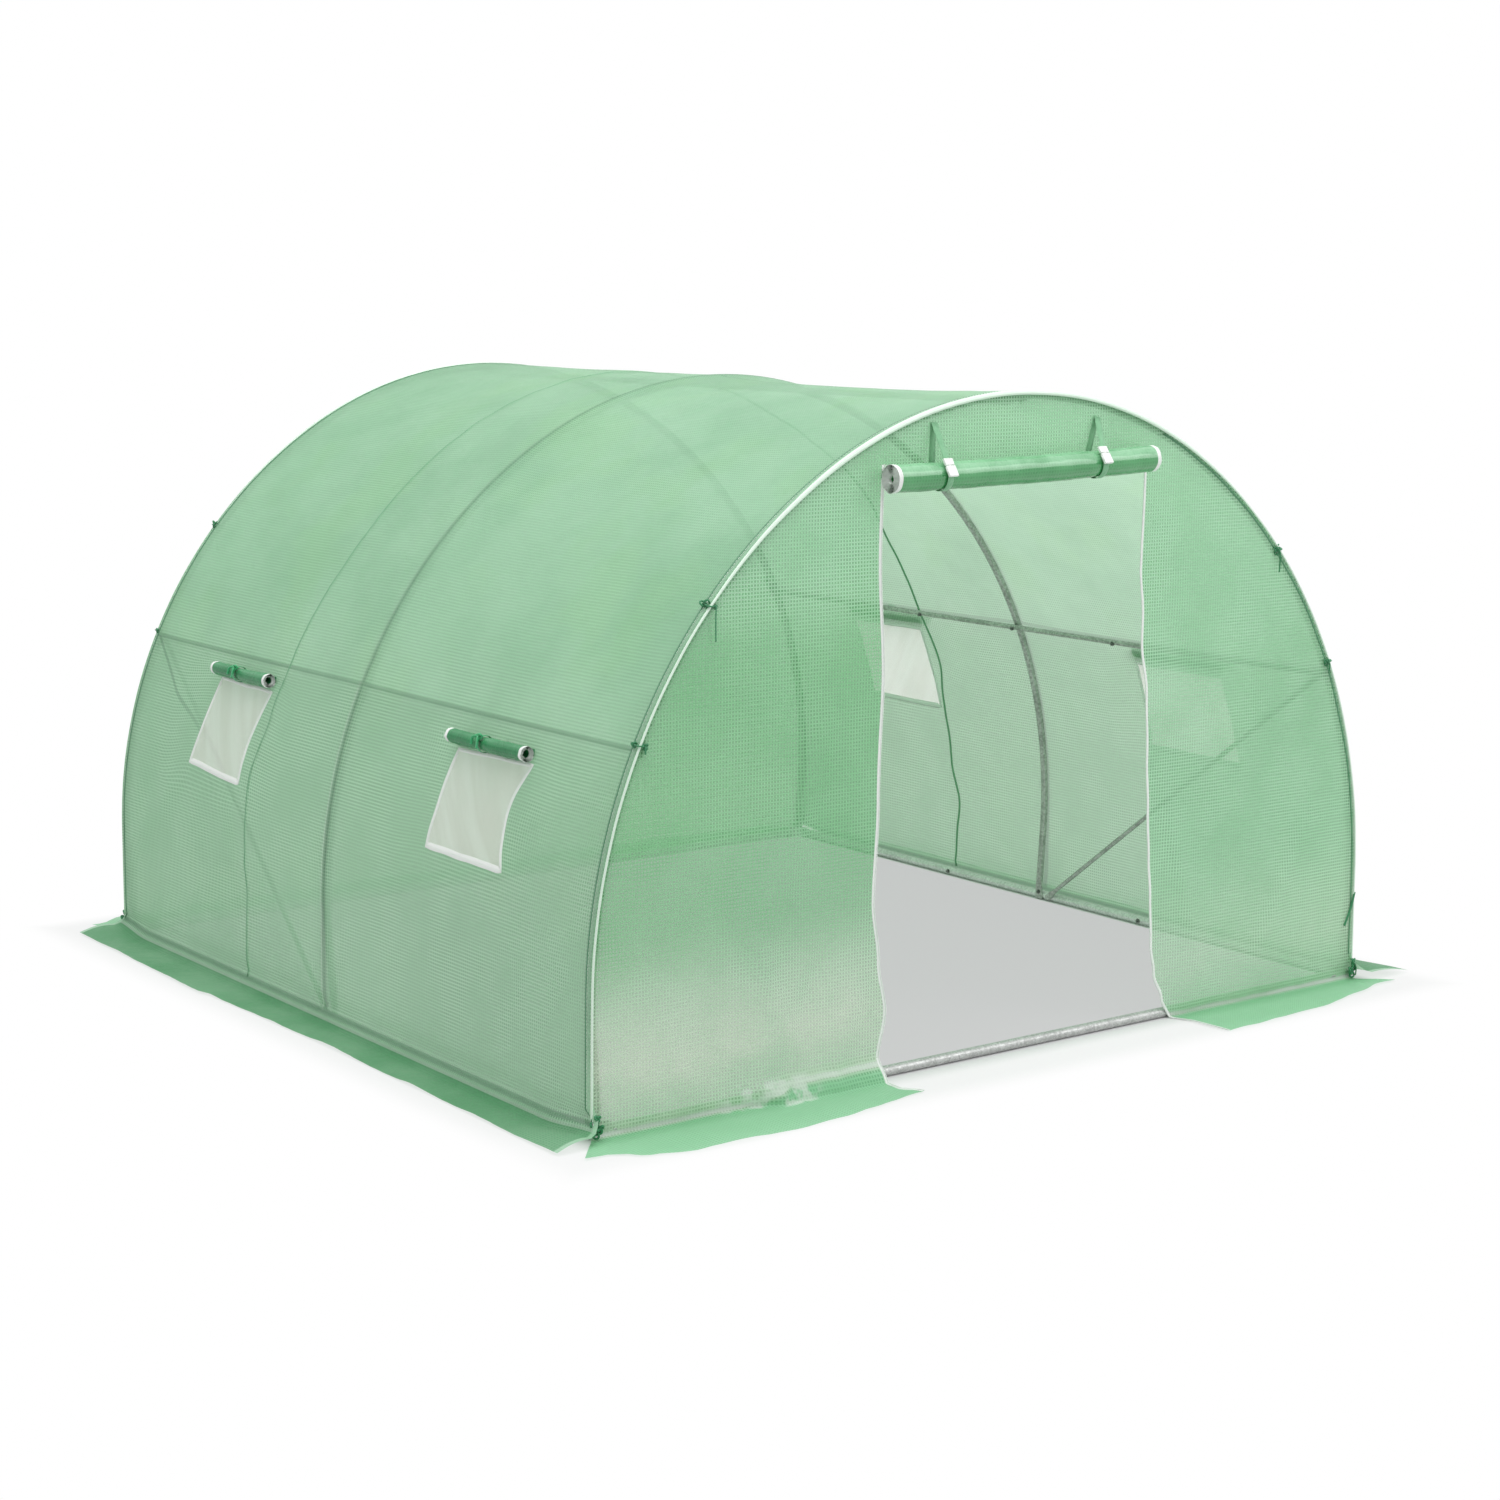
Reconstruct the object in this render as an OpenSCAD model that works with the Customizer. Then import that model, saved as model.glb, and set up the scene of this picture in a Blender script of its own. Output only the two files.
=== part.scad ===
// Walk-in polytunnel greenhouse: three bent-tube hoops on a ground frame, under a sewn sheet cover.
// X runs across, Y from the door end (negative) to the rear, Z up from the ground. Millimetres.

/* [Overall] */
// Height from the ground to the top of the cover
height = 2000; // [1900:10:2200]
// Width between the feet of a hoop, centre to centre
width = 3000; // [2800:10:3200]
// Length between the two end hoops, centre to centre
length = 3000; // [2800:10:3600]

/* [Hoops] */
// Outside diameter of the hoop tube
hoop_d = 25; // [20:1:32]
// Wall of every steel tube
tube_wall = 1; // [0.8:0.1:1.5]
// Bending radius of the crown
crown_r = 1373; // [1250:1:1450]
// Half angle of the crown bend, from the vertical
crown_a = 28.6; // [24:0.1:32]
// Outward lean of the straight legs, going up
leg_lean = 3.8; // [2:0.1:6]
// Angle from the vertical at which the two tubes of a side bend are plugged together
side_splice_a = 58; // [50:1:61]
// Length of a plugged-in tube end
spigot_len = 60; // [40:1:90]
// Length of the collar that holds a plugged-in end in its own tube
collar = 4; // [3:0.5:6]

/* [Rails and braces] */
// Outside diameter of the ground rails
rail_d = 32; // [25:1:40]
// Outside diameter of the purlins
purlin_d = 19; // [16:1:25]
// Outside diameter of the diagonal braces
brace_d = 16; // [12:1:20]
// Drop of the side purlins from the top of the cover to where they cross the hoops
purlin_drop = 940; // [900:5:1020]
// Distance of the tube splices from the middle of a rail or purlin
splice_pos = 500; // [400:10:700]
// Thickness of a flattened tube end
flat_t = 4; // [3:0.5:5]
// Width of a flattened tube end
flat_w = 34; // [28:1:40]
// Length over which a tube is pressed from round to flat
press_len = 45; // [30:1:60]
// Width of a pressed purlin or brace end, in diameters of its tube
press_spread = 1.4; // [1.2:0.05:1.55]
// Height of a hoop's flattened foot above the ground rail
foot_over = 14; // [8:1:24]
// Clearance of the flattened ends from the ground and from the end panels
foot_clear = 3; // [2:0.5:5]
// Sideways distance of a brace foot from the middle hoop
brace_foot_y = 48; // [40:1:80]

/* [Cover] */
// Thickness of the cover sheet
sheet_t = 2; // [1:0.5:3]
// Distance from the middle to the seam between the two widths of sheet
seam_y = 530; // [200:10:550]
// Angle from the vertical at which the side walls meet the roof
eaves_a = 61.5; // [60:0.5:63]
// Reach of the ground skirts beyond the side walls
side_skirt_w = 160; // [120:2:220]
// Reach of the ground skirts beyond the two ends
end_skirt_w = 235; // [160:5:280]
// Turn-in of the ground skirts under the end panels
hem = 3; // [2:0.5:6]
// Diameter of the piping along the two end arches
piping_d = 10; // [6:1:14]
// Width of a tie tape
tie_w = 11; // [8:1:16]
// Thickness of a tie tape
tie_t = 1.2; // [0.8:0.1:2]
// Diameter of the knot of a cover tie
knot_d = 13; // [8:1:16]
// Drop of the upper cover ties from the top of the cover
tie_drop = 543; // [480:1:620]
// Distance of the lower cover ties above the side purlins
tie_over_purlin = 28; // [24:1:60]

/* [Door] */
// Sideways place of the middle of the doorway
door_x = -30; // [-80:5:80]
// Clear width of the doorway
door_w = 1050; // [900:10:1150]
// Height of the panel over the doorway, up to the top of the cover
over_door = 200; // [180:5:280]
// Outside radius of the rolled-up door
door_roll_r = 42; // [36:1:50]
// Height of the middle of the rolled-up door below the top of the doorway
door_roll_drop = 25; // [20:1:60]
// Distance of the ends of the roll from the sides of the doorway
door_roll_inset = 13; // [0:1:40]
// Overlap of the door sheet on the panel over the doorway
door_lap = 18; // [10:1:30]
// Width of the two zip tapes beside the doorway
zip_w = 12; // [8:1:24]
// Thickness of a zip
zip_t = 3; // [2:0.5:5]
// Distance between the two door straps
strap_gap = 635; // [500:5:800]
// Width of a door strap
strap_w = 22; // [18:1:30]
// Thickness of a door strap
strap_t = 1.5; // [1:0.1:2.5]
// Height of the sewn end of a door strap above the middle of the roll
strap_rise = 140; // [120:1:150]
// Length of a strap buckle
buckle_l = 46; // [36:1:60]
// Width of a strap buckle
buckle_w = 33; // [30:1:44]
// Thickness of a strap buckle
buckle_t = 11; // [8:1:14]
// Width of the slots and of the channel walls of a buckle
buckle_rim = 4; // [3:0.5:5]
// Depth of the hollows in the sides of a buckle
buckle_waist = 4; // [2:0.5:5]
// Radius of the hollows in the sides of a buckle
buckle_waist_r = 18; // [12:1:24]

/* [Windows] */
// Distance of a window's middle from the middle hoop
win_y = 800; // [760:5:900]
// Width of a window
win_w = 430; // [360:5:460]
// Height of a window
win_h = 300; // [240:5:340]
// Drop of a window's upper edge below the side purlins
win_drop = 105; // [95:5:140]
// Width of the binding round a window
binding_w = 14; // [10:1:20]
// Thickness of the binding
binding_t = 1.5; // [1:0.1:2.5]
// Width of binding that laps on to the cover sheet
binding_lap = 8; // [6:0.5:10]
// Outside radius of a rolled-up window flap
flap_roll_r = 24; // [20:1:28]
// Height of the middle of a rolled flap above its window
flap_lift = 30; // [26:1:40]
// Overhang of a rolled flap past each side of its window
flap_over = 25; // [10:1:40]
// Height of the sewn end of a window tie above the middle of its roll
tie_rise = 62; // [56:1:70]

/* [Fits] */
// Clearance between pieces that lie against each other
fit = 0.3; // [0.2:0.05:0.5]

/* [Hidden] */
$fn = 96;
eps = 0.5;
PRESS_LAP = 1;
PRESS_INSET = 0.3;
CUT = 2;
HULL_FN = 32;
steel = [0.72, 0.74, 0.75];
cover_green = [0.62, 0.78, 0.68, 0.55];
deep_green = [0.20, 0.42, 0.27];
white_trim = [0.93, 0.95, 0.93];
mesh_white = [0.85, 0.90, 0.88, 0.6];

// Hoop line, one half: a straight leg, a side bend and half of the crown, tangent to each other.
foot_x = width / 2;
foot_top = rail_d + foot_over;
hoop_r = hoop_d / 2;
hoop_top = height - sheet_t - fit - hoop_r;
rise = hoop_top - foot_top;
side_r = (foot_x - crown_r * sin(crown_a) + tan(leg_lean) * (rise - crown_r * (1 - cos(crown_a))))
    / (cos(leg_lean) - sin(crown_a) + tan(leg_lean) * (cos(crown_a) + sin(leg_lean)));
side_x = (crown_r - side_r) * sin(crown_a);
crown_z = hoop_top - crown_r;
side_z = crown_z + (crown_r - side_r) * cos(crown_a);
leg_top_x = side_x + side_r * cos(leg_lean);
leg_top_z = side_z - side_r * sin(leg_lean);
leg_top_a = 90 + leg_lean;
leg_len = (leg_top_z - foot_top - press_len) / cos(leg_lean);
end_y = length / 2;

// Ground rails lie against the flattened feet of the hoops.
rail_x = foot_x + flat_t / 2 + fit + rail_d / 2;
rail_z = rail_d / 2;
end_rail_y = end_y + hoop_r - rail_d / 2;
rail_end_y = end_y + hoop_r - foot_clear;
purlin_z = height - purlin_drop;
purlin_a = hoop_a(purlin_z);

// Cover line: the hoop line moved outwards, then a straight wall tangent to the ground rail.
cover_off = hoop_r + fit;
wall_r = side_r + cover_off;
roof_r = crown_r + cover_off;
rail_dx = rail_x + rail_d / 2 + fit - side_x;
rail_dz = side_z - rail_z;
wall_tilt = acos(wall_r / norm([rail_dx, rail_dz])) - atan2(rail_dz, rail_dx);
wall_a = 90 - wall_tilt;
wall_top_x = side_x + wall_r * cos(wall_tilt);
wall_top_z = side_z + wall_r * sin(wall_tilt);
wall_len = (wall_top_z - sheet_t / 2) / cos(wall_tilt);
wall_foot_x = wall_top_x + wall_len * sin(wall_tilt);
barrel_y = end_y + hoop_r;
panel_y = barrel_y + fit;
panel_face = panel_y + sheet_t;
seam_front = seam_y - fit / 2;
seam_rear = seam_y + fit / 2;

// Doorway, windows and their rolls.
door_top = height - over_door;
door_left = door_x - door_w / 2;
door_right = door_x + door_w / 2;
door_roll_z = door_top - door_roll_drop;
win_top = purlin_z - win_drop;
win_bottom = win_top - win_h;
flap_a = acos((win_top + flap_lift - side_z) / (wall_r + sheet_t));
SIDE_STEPS = 20;
CROWN_STEPS = 12;
ARC_LAP = 5;
ROLL_TURNS = 4;
ROLL_STEPS = 20;
ROLL_CORE = 0.35;
STRAP_STEPS = 20;
TIE_START_A = 150;
TIE_WRAP_A = 150;
KNOT_A = 225;
TIE_ANGLES = [hoop_a(height - tie_drop), hoop_a(purlin_z + tie_over_purlin)];

// Angles of the bends are measured from the vertical, towards +X.
module bend(r, a0, a1) {
    rotate([90, 0, 0]) rotate([0, 0, 90 - a1])
        rotate_extrude(angle = a1 - a0) translate([r, 0]) children();
}

module at_side() {
    translate([side_x, 0, side_z]) children();
}

module at_crown() {
    translate([0, 0, crown_z]) children();
}

// A frame on the side bend: X outwards, Z up along the surface.
module on_side(a) {
    at_side() rotate([0, a - 90, 0]) children();
}

module both_sides() {
    children();
    mirror([1, 0, 0]) children();
}

module left_side() {
    mirror([1, 0, 0]) children();
}

module ring2d(d_out, d_in) {
    difference() {
        circle(d = d_out);
        circle(d = d_in);
    }
}

module tube(d, h) {
    linear_extrude(h) ring2d(d, d - 2 * tube_wall);
}

// A tube end reduced to plug into the next tube, and the collar that joins it to its own tube.
function plug_d(d) = d - 2 * tube_wall - 2 * fit;

module plug2d(d) {
    ring2d(plug_d(d), plug_d(d) - 2 * tube_wall);
}

module collar2d(d) {
    ring2d(d - tube_wall, plug_d(d) - 3 * tube_wall);
}

module between(p0, p1) {
    v = p1 - p0;
    translate(p0) rotate([0, acos(v.z / norm(v)), atan2(v.y, v.x)]) children();
}

// Round disc inside the tube wall, from which a pressed end starts.
module press_disc(d) {
    cylinder(d = d - tube_wall, h = eps, $fn = HULL_FN);
}

// Thin slab inside a flattened end, across Y, where a pressed end finishes.
module press_slab(w) {
    thick = flat_t - 2 * PRESS_INSET;
    wide = w - 2 * PRESS_INSET;
    translate([-thick / 2, -wide / 2, 0]) cube([thick, wide, eps]);
}

// Hoops

function arc_a(l, r) = l / r * 180 / PI;

// Angle from the vertical at which the side bend of a hoop reaches height z.
function hoop_a(z) = acos((z - side_z) / side_r);

module bent_tube(r, a0, a1) {
    bend(r, a0, a1) ring2d(hoop_d, hoop_d - 2 * tube_wall);
}

module bent_collar(r, a) {
    bend(r, a + arc_a(eps, r), a + arc_a(2 * collar, r)) collar2d(hoop_d);
}

module bent_plug(r, a) {
    bend(r, a - arc_a(spigot_len, r), a + arc_a(collar, r)) plug2d(hoop_d);
}

module crown_tube() {
    gap_a = arc_a(fit, crown_r);
    at_crown() bent_tube(crown_r, -crown_a + gap_a, crown_a - gap_a);
}

module upper_side_tube() {
    at_crown() bent_plug(crown_r, crown_a);
    at_side() {
        bent_collar(side_r, crown_a);
        bent_tube(side_r, crown_a, side_splice_a - arc_a(fit, side_r));
    }
}

module lower_side_tube() {
    at_side() {
        bent_plug(side_r, side_splice_a);
        bent_collar(side_r, side_splice_a);
        bent_tube(side_r, side_splice_a, leg_top_a - arc_a(fit, side_r));
    }
}

// Straight leg with a pressed foot; the foot of an end hoop is pressed towards the middle by shift.
module leg_tube(shift) {
    translate([leg_top_x, 0, leg_top_z]) rotate([0, leg_lean, 0]) {
        translate([0, 0, -leg_len]) tube(hoop_d, leg_len);
        translate([0, 0, -2 * collar]) linear_extrude(2 * collar - eps) collar2d(hoop_d);
        translate([0, 0, -collar]) linear_extrude(collar + spigot_len / 2) plug2d(hoop_d);
    }
    hull() {
        translate([leg_top_x, 0, leg_top_z]) rotate([0, leg_lean, 0]) translate([0, 0, PRESS_LAP - leg_len])
            press_disc(hoop_d);
        translate([foot_x, shift, foot_top - collar]) press_slab(flat_w);
    }
    translate([foot_x - flat_t / 2, shift - flat_w / 2, foot_clear])
        cube([flat_t, flat_w, foot_top - foot_clear]);
}

module hoop(y) {
    shift = -sign(y) * (flat_w - hoop_d) / 2;
    color(steel) translate([0, y, 0]) {
        crown_tube();
        both_sides() {
            upper_side_tube();
            lower_side_tube();
            leg_tube(shift);
        }
    }
}

// Purlins, rails and braces

// Straight run along Y in three plugged lengths, its outer ends left for the caller.
module spliced_run(d, half) {
    rotate([-90, 0, 0]) translate([0, 0, -splice_pos + fit]) tube(d, 2 * (splice_pos - fit));
    for (turn = [0, 180]) rotate([0, 0, turn]) rotate([-90, 0, 0]) translate([0, 0, splice_pos]) {
        tube(d, half - splice_pos);
        translate([0, 0, eps]) linear_extrude(2 * collar) collar2d(d);
        translate([0, 0, -spigot_len]) linear_extrude(spigot_len + collar) plug2d(d);
    }
}

// Purlin under the hoops, in a frame whose Z points outwards through the hoop centre line.
module purlin(r) {
    axis = r - hoop_r - fit - purlin_d / 2;
    half = end_y - flat_w / 2 - press_len;
    tab_z = r - hoop_r - fit - flat_t / 2;
    tab_w = purlin_d * press_spread;
    tab_l = barrel_y - foot_clear - half - press_len;
    color(steel) {
        translate([0, 0, axis]) spliced_run(purlin_d, half);
        for (turn = [0, 180]) rotate([0, 0, turn]) {
            hull() {
                translate([0, half - PRESS_LAP, axis]) rotate([-90, 0, 0]) press_disc(purlin_d);
                translate([0, half + press_len + eps, tab_z]) rotate([-90, 90, 0]) press_slab(tab_w);
            }
            translate([-tab_w / 2, half + press_len, tab_z - flat_t / 2]) cube([tab_w, tab_l, flat_t]);
        }
    }
}

module side_purlin() {
    at_side() rotate([0, purlin_a, 0]) purlin(side_r);
}

module ridge_purlin() {
    at_crown() purlin(crown_r);
}

module side_rail() {
    color(steel) translate([rail_x, 0, rail_z]) spliced_run(rail_d, rail_end_y);
}

// Rail across an end; its pressed ends bend inwards and lie against the side rails.
module end_rail() {
    half = foot_x - 2 * press_len;
    tab_x = foot_x - press_len;
    tab_y = end_y + hoop_r - flat_w - foot_clear;
    tab_h = rail_d + 2 * foot_clear;
    color(steel) {
        translate([0, end_rail_y, rail_z]) rotate([0, 0, -90]) spliced_run(rail_d, half);
        both_sides() {
            hull() {
                translate([half - PRESS_LAP, end_rail_y, rail_z]) rotate([0, 90, 0]) press_disc(rail_d);
                translate([tab_x + PRESS_LAP, end_rail_y, foot_clear + tab_h / 2])
                    rotate([90, 0, 90]) rotate([0, 0, 90]) press_slab(tab_h);
            }
            translate([0, 0, foot_clear]) linear_extrude(tab_h) polygon([
                [tab_x, end_rail_y - flat_t / 2],
                [foot_x - flat_t / 2, tab_y - flat_t / 2],
                [foot_x - flat_t / 2, tab_y - flat_w],
                [foot_x + flat_t / 2, tab_y - flat_w],
                [foot_x + flat_t / 2, tab_y],
                [tab_x, end_rail_y + flat_t / 2]
            ]);
        }
    }
}

// Pressed brace end along Z, with a half-round tip about the bolt at the origin.
module brace_tab(w) {
    rotate([0, 90, 0]) linear_extrude(flat_t, center = true) {
        circle(d = w);
        translate([-w, -w / 2]) square([w, w]);
    }
}

// Brace from the foot of the middle hoop to the purlin joint of the rear hoop, right-hand side.
module brace() {
    tab_w = brace_d * press_spread;
    head_r = side_r - hoop_r - 2 * fit - 1.5 * flat_t;
    foot_p = [foot_x, brace_foot_y, rail_z];
    head_p = [side_x + head_r * sin(purlin_a), end_y, side_z + head_r * cos(purlin_a)];
    along = (head_p - foot_p) / norm(head_p - foot_p);
    pitch = atan2(along.z, along.y);
    foot_neck = foot_p + along * (tab_w + press_len);
    head_neck = head_p - along * (tab_w + press_len);
    color(steel) {
        between(foot_neck, head_neck) tube(brace_d, norm(head_neck - foot_neck));
        translate(foot_p) rotate([pitch - 90, 0, 0]) brace_tab(tab_w);
        hull() {
            between(foot_neck, head_neck) translate([0, 0, eps]) press_disc(brace_d);
            translate(foot_p) rotate([pitch - 90, 0, 0]) translate([0, 0, tab_w - 2 * eps]) press_slab(tab_w);
        }
        translate(head_p) rotate([0, purlin_a - 90, 0]) rotate([90 + pitch, 0, 0]) brace_tab(tab_w);
        hull() {
            between(head_neck, foot_neck) translate([0, 0, eps]) press_disc(brace_d);
            translate(head_p) rotate([0, purlin_a - 90, 0]) rotate([90 + pitch, 0, 0])
                translate([0, 0, tab_w - 2 * eps]) press_slab(tab_w);
        }
    }
}

module rear_to_front() {
    mirror([0, 1, 0]) children();
}

// Cover

function height_a(z) = acos((z - side_z) / wall_r);
function wall_arc(l) = arc_a(l, wall_r);

// Points along a bend whose straight steps stay outside the true bend.
function arc_points(x, z, r, a0, a1, n) = let (step = (a1 - a0) / n) [for (i = [0 : n])
    let (a = a0 + step * i, q = r / cos(step / 2)) [x + q * sin(a), z + q * cos(a)]];

function side_points(off, a0, a1) = arc_points(side_x, side_z, wall_r + off, a0, a1, SIDE_STEPS);
function crown_points(off, a1) = arc_points(0, crown_z, roof_r + off, 0, a1, CROWN_STEPS);
function reversed(list) = [for (i = [len(list) - 1 : -1 : 0]) list[i]];
function mirrored(list) = [for (p = reversed(list)) [-p.x, p.y]];

// Extrudes a profile in the XZ plane from y0 to y1.
module along_tunnel(y0, y1) {
    translate([0, y1, 0]) rotate([90, 0, 0]) linear_extrude(y1 - y0) children();
}

// Block on the side bend between two angles, lifted by off from the inner face of the sheet.
module side_block(off, t, a0, a1, y0, y1) {
    at_side() rotate([90, 0, 0]) rotate([0, 0, 90 - a1]) rotate_extrude(angle = a1 - a0)
        translate([wall_r + off, -y1]) square([t, y1 - y0]);
}

module window_patch(off, t, grow, y) {
    g = wall_arc(grow);
    half = win_w / 2 + grow;
    side_block(off, t, height_a(win_top) - g, height_a(win_bottom) + g, y - half, y + half);
}

// Side wall with its window and its ground skirt, right-hand side.
module side_wall(y0, y1, window_y) {
    skirt_x = wall_foot_x + sheet_t + side_skirt_w;
    color(cover_green) difference() {
        along_tunnel(y0, y1) polygon(concat(
            side_points(0, eaves_a, wall_a),
            [[wall_foot_x, 0], [skirt_x, 0], [skirt_x, sheet_t], [wall_foot_x + sheet_t, sheet_t]],
            reversed(side_points(sheet_t, eaves_a, wall_a))
        ));
        window_patch(-CUT, sheet_t + 2 * CUT, 0, window_y);
    }
}

module roof(y0, y1) {
    split_a = eaves_a - wall_arc(fit);
    lap_a = crown_a + wall_arc(ARC_LAP);
    inside = concat(crown_points(0, crown_a), side_points(0, lap_a, split_a));
    outside = concat(crown_points(sheet_t, crown_a), side_points(sheet_t, lap_a, split_a));
    color(cover_green) along_tunnel(y0, y1)
        polygon(concat(mirrored(outside), outside, reversed(inside), reversed(mirrored(inside))));
}

// Sewn-in screen with the binding that laps over the edge of its window.
module window_screen(y) {
    lift = sheet_t + fit;
    color(mesh_white) {
        window_patch(eps, lift, -fit, y);
        difference() {
            window_patch(lift, binding_t, binding_lap, y);
            window_patch(lift - eps, binding_t + 2 * eps, binding_lap - binding_w, y);
        }
    }
}

// Outline of the cover line in the XZ plane, from the ridge down the right-hand side to the ground.
function half_arch(off) = concat(
    crown_points(off, crown_a),
    side_points(off, crown_a + wall_arc(ARC_LAP), wall_a),
    [[wall_foot_x + off, 0]]
);

// Strip of the arch between x0 and x1, above z0.
module arch_strip(x0, x1, z0) {
    right = half_arch(sheet_t);
    intersection() {
        polygon(concat(mirrored(right), right));
        translate([x0, z0]) square([x1 - x0, height]);
    }
}

// Flat sheet cut to the arch, standing at the door end.
module end_sheet(x0, x1, z0) {
    translate([0, -panel_y, 0]) rotate([90, 0, 0]) linear_extrude(sheet_t) arch_strip(x0, x1, z0);
}

module end_skirt(x0, x1) {
    translate([x0, -panel_face - end_skirt_w, 0]) cube([x1 - x0, end_skirt_w + sheet_t + hem, sheet_t]);
}

// End panel with its skirt on the ground; an end beyond the arch is cut off at the arch.
module end_panel(x0, x1) {
    color(cover_green) union() {
        end_sheet(x0, x1, 0);
        end_skirt(max(x0, -wall_foot_x), min(x1, wall_foot_x));
    }
}

module over_door_panel() {
    color(cover_green) end_sheet(door_left + fit, door_right - fit, door_top);
}

// Corded edge in five lengths along the arch, lying on the face of the end panel.
module piping() {
    in = sheet_t - piping_d / 2;
    gap_a = wall_arc(fit);
    color(white_trim) translate([0, -panel_face - fit - piping_d / 2, 0]) {
        at_crown() bend(roof_r + in, -crown_a, crown_a) circle(d = piping_d);
        both_sides() {
            at_side() bend(wall_r + in, crown_a + gap_a, wall_a) circle(d = piping_d);
            on_side(wall_a) translate([wall_r + in, 0, -wall_len + hem])
                cylinder(d = piping_d, h = wall_len - hem - fit);
        }
    }
}

// Rolls, straps and ties

// Sheet wound into a loose roll and led straight up to its seam; X points away from the face behind it.
module roll_profile(r, back_t, seam_z) {
    cx = roll_x(r, back_t);
    r_out = r - sheet_t / 2;
    r_in = r * ROLL_CORE;
    n = ROLL_TURNS * ROLL_STEPS;
    function at(i, off) = let (a = 180 + 360 * i / ROLL_STEPS, q = r_out + (r_in - r_out) * i / n + off)
        [cx + q * cos(a), q * sin(a)];
    polygon(concat(
        [[cx - r, seam_z]],
        [for (i = [0 : n]) at(i, sheet_t / 2)],
        [for (i = [n : -1 : 0]) at(i, -sheet_t / 2)],
        [[cx - r + sheet_t, seam_z]]
    ));
}

module roll(r, back_t, seam_z, l) {
    rotate([90, 0, 0]) linear_extrude(l, center = true) roll_profile(r, back_t, seam_z);
}

// Distance of the middle of a roll from the face behind it, with a tape of thickness t between them.
function roll_x(r, t) = t + 2 * fit + r;

// Angle above the horizontal at which a tape sewn on at height up leaves the front of a roll.
function strap_lean(r, t, up) = let (dx = roll_x(r, t) - fit - t)
    atan2(dx, up) + asin((r + fit) / norm([dx, up]));

// Tape sewn on above a roll: down behind it, under it and up over its front.
module strap_loop(r, t, w, up) {
    cx = roll_x(r, t);
    apex = [fit + t, up];
    lean = strap_lean(r, t, up);
    step = (180 + lean) / STRAP_STEPS;
    inner = (r + fit) / cos(step / 2);
    function wrap(q) = [for (i = [0 : STRAP_STEPS]) let (a = 180 + i * step) [cx + q * cos(a), q * sin(a)]];
    rotate([90, 0, 0]) linear_extrude(w, center = true) difference() {
        polygon(concat(
            [[fit, up + w / 2], [fit, 0]], wrap(inner + t),
            [apex + t * [cos(lean), sin(lean)], [fit + 2 * t, up + w / 2]]
        ));
        polygon(concat([apex, [fit + t, 0]], wrap(inner)));
    }
}

// Frames of the two kinds of roll.
module on_door_face(x, z) {
    translate([x, -panel_face, z]) rotate([0, 0, -90]) children();
}

module door_straps_at() {
    for (side = [-1, 1]) on_door_face(door_x + side * strap_gap / 2, door_roll_z) children();
}

module on_wall_face(y) {
    on_side(flap_a) translate([wall_r + sheet_t, y, 0]) children();
}

module window_flap(y) {
    color(deep_green) on_wall_face(y) roll(flap_roll_r, tie_t, tie_rise - tie_w, win_w + 2 * flap_over);
}

module window_ties() {
    color(deep_green) both_sides() for (y = [-win_y, win_y]) on_wall_face(y)
        strap_loop(flap_roll_r, tie_t, tie_w, tie_rise);
}

module door_roll() {
    color(deep_green) on_door_face(door_x, door_roll_z)
        roll(door_roll_r, strap_t, door_roll_drop + door_lap, door_w - 2 * door_roll_inset);
}

module door_straps() {
    color(deep_green) door_straps_at() strap_loop(door_roll_r, strap_t, strap_w, strap_rise);
}

// Side-release buckle: a body with hollow sides, a slot at each end and a channel for the strap behind it.
module buckle() {
    rotate([90, 0, 90]) difference() {
        linear_extrude(buckle_t) difference() {
            square([buckle_w, buckle_l], center = true);
            for (side = [-1, 1]) translate([side * (buckle_w / 2 - buckle_waist + buckle_waist_r), 0])
                circle(r = buckle_waist_r);
            for (end = [-1, 1]) translate([0, end * (buckle_l / 2 - buckle_rim)])
                square([strap_w, buckle_rim], center = true);
        }
        translate([0, 0, -eps]) linear_extrude(strap_t + 2 * eps)
            square([strap_w + 2 * fit, buckle_l + 2 * CUT], center = true);
    }
}

// The buckles sit where the straps leave the front of the roll.
module door_buckles() {
    color(white_trim) door_straps_at() translate([roll_x(door_roll_r, strap_t), 0, 0])
        rotate([0, -strap_lean(door_roll_r, strap_t, strap_rise), 0])
            translate([door_roll_r + 2 * fit, 0, 0]) buckle();
}

module door_zips() {
    zip_z = sheet_t + fit;
    color(white_trim) for (x = [door_left - zip_w, door_right])
        translate([x, -panel_face - fit - zip_t, zip_z]) cube([zip_w, zip_t, door_top - zip_z]);
}

// Tapes that tie the cover to the end hoops, clear of the sheet outside them.
module cover_tie(a) {
    on_side(a) translate([side_r, end_y, 0]) {
        rotate([0, 0, TIE_START_A]) rotate_extrude(angle = TIE_WRAP_A)
            translate([hoop_r + fit, -tie_w / 2]) square([tie_t, tie_w]);
        rotate([0, 0, KNOT_A]) translate([hoop_r + fit + knot_d / 2, 0, 0]) sphere(d = knot_d);
    }
}

module cover_ties() {
    color(deep_green) both_sides() for (a = TIE_ANGLES) {
        cover_tie(a);
        rear_to_front() cover_tie(a);
    }
}

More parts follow.
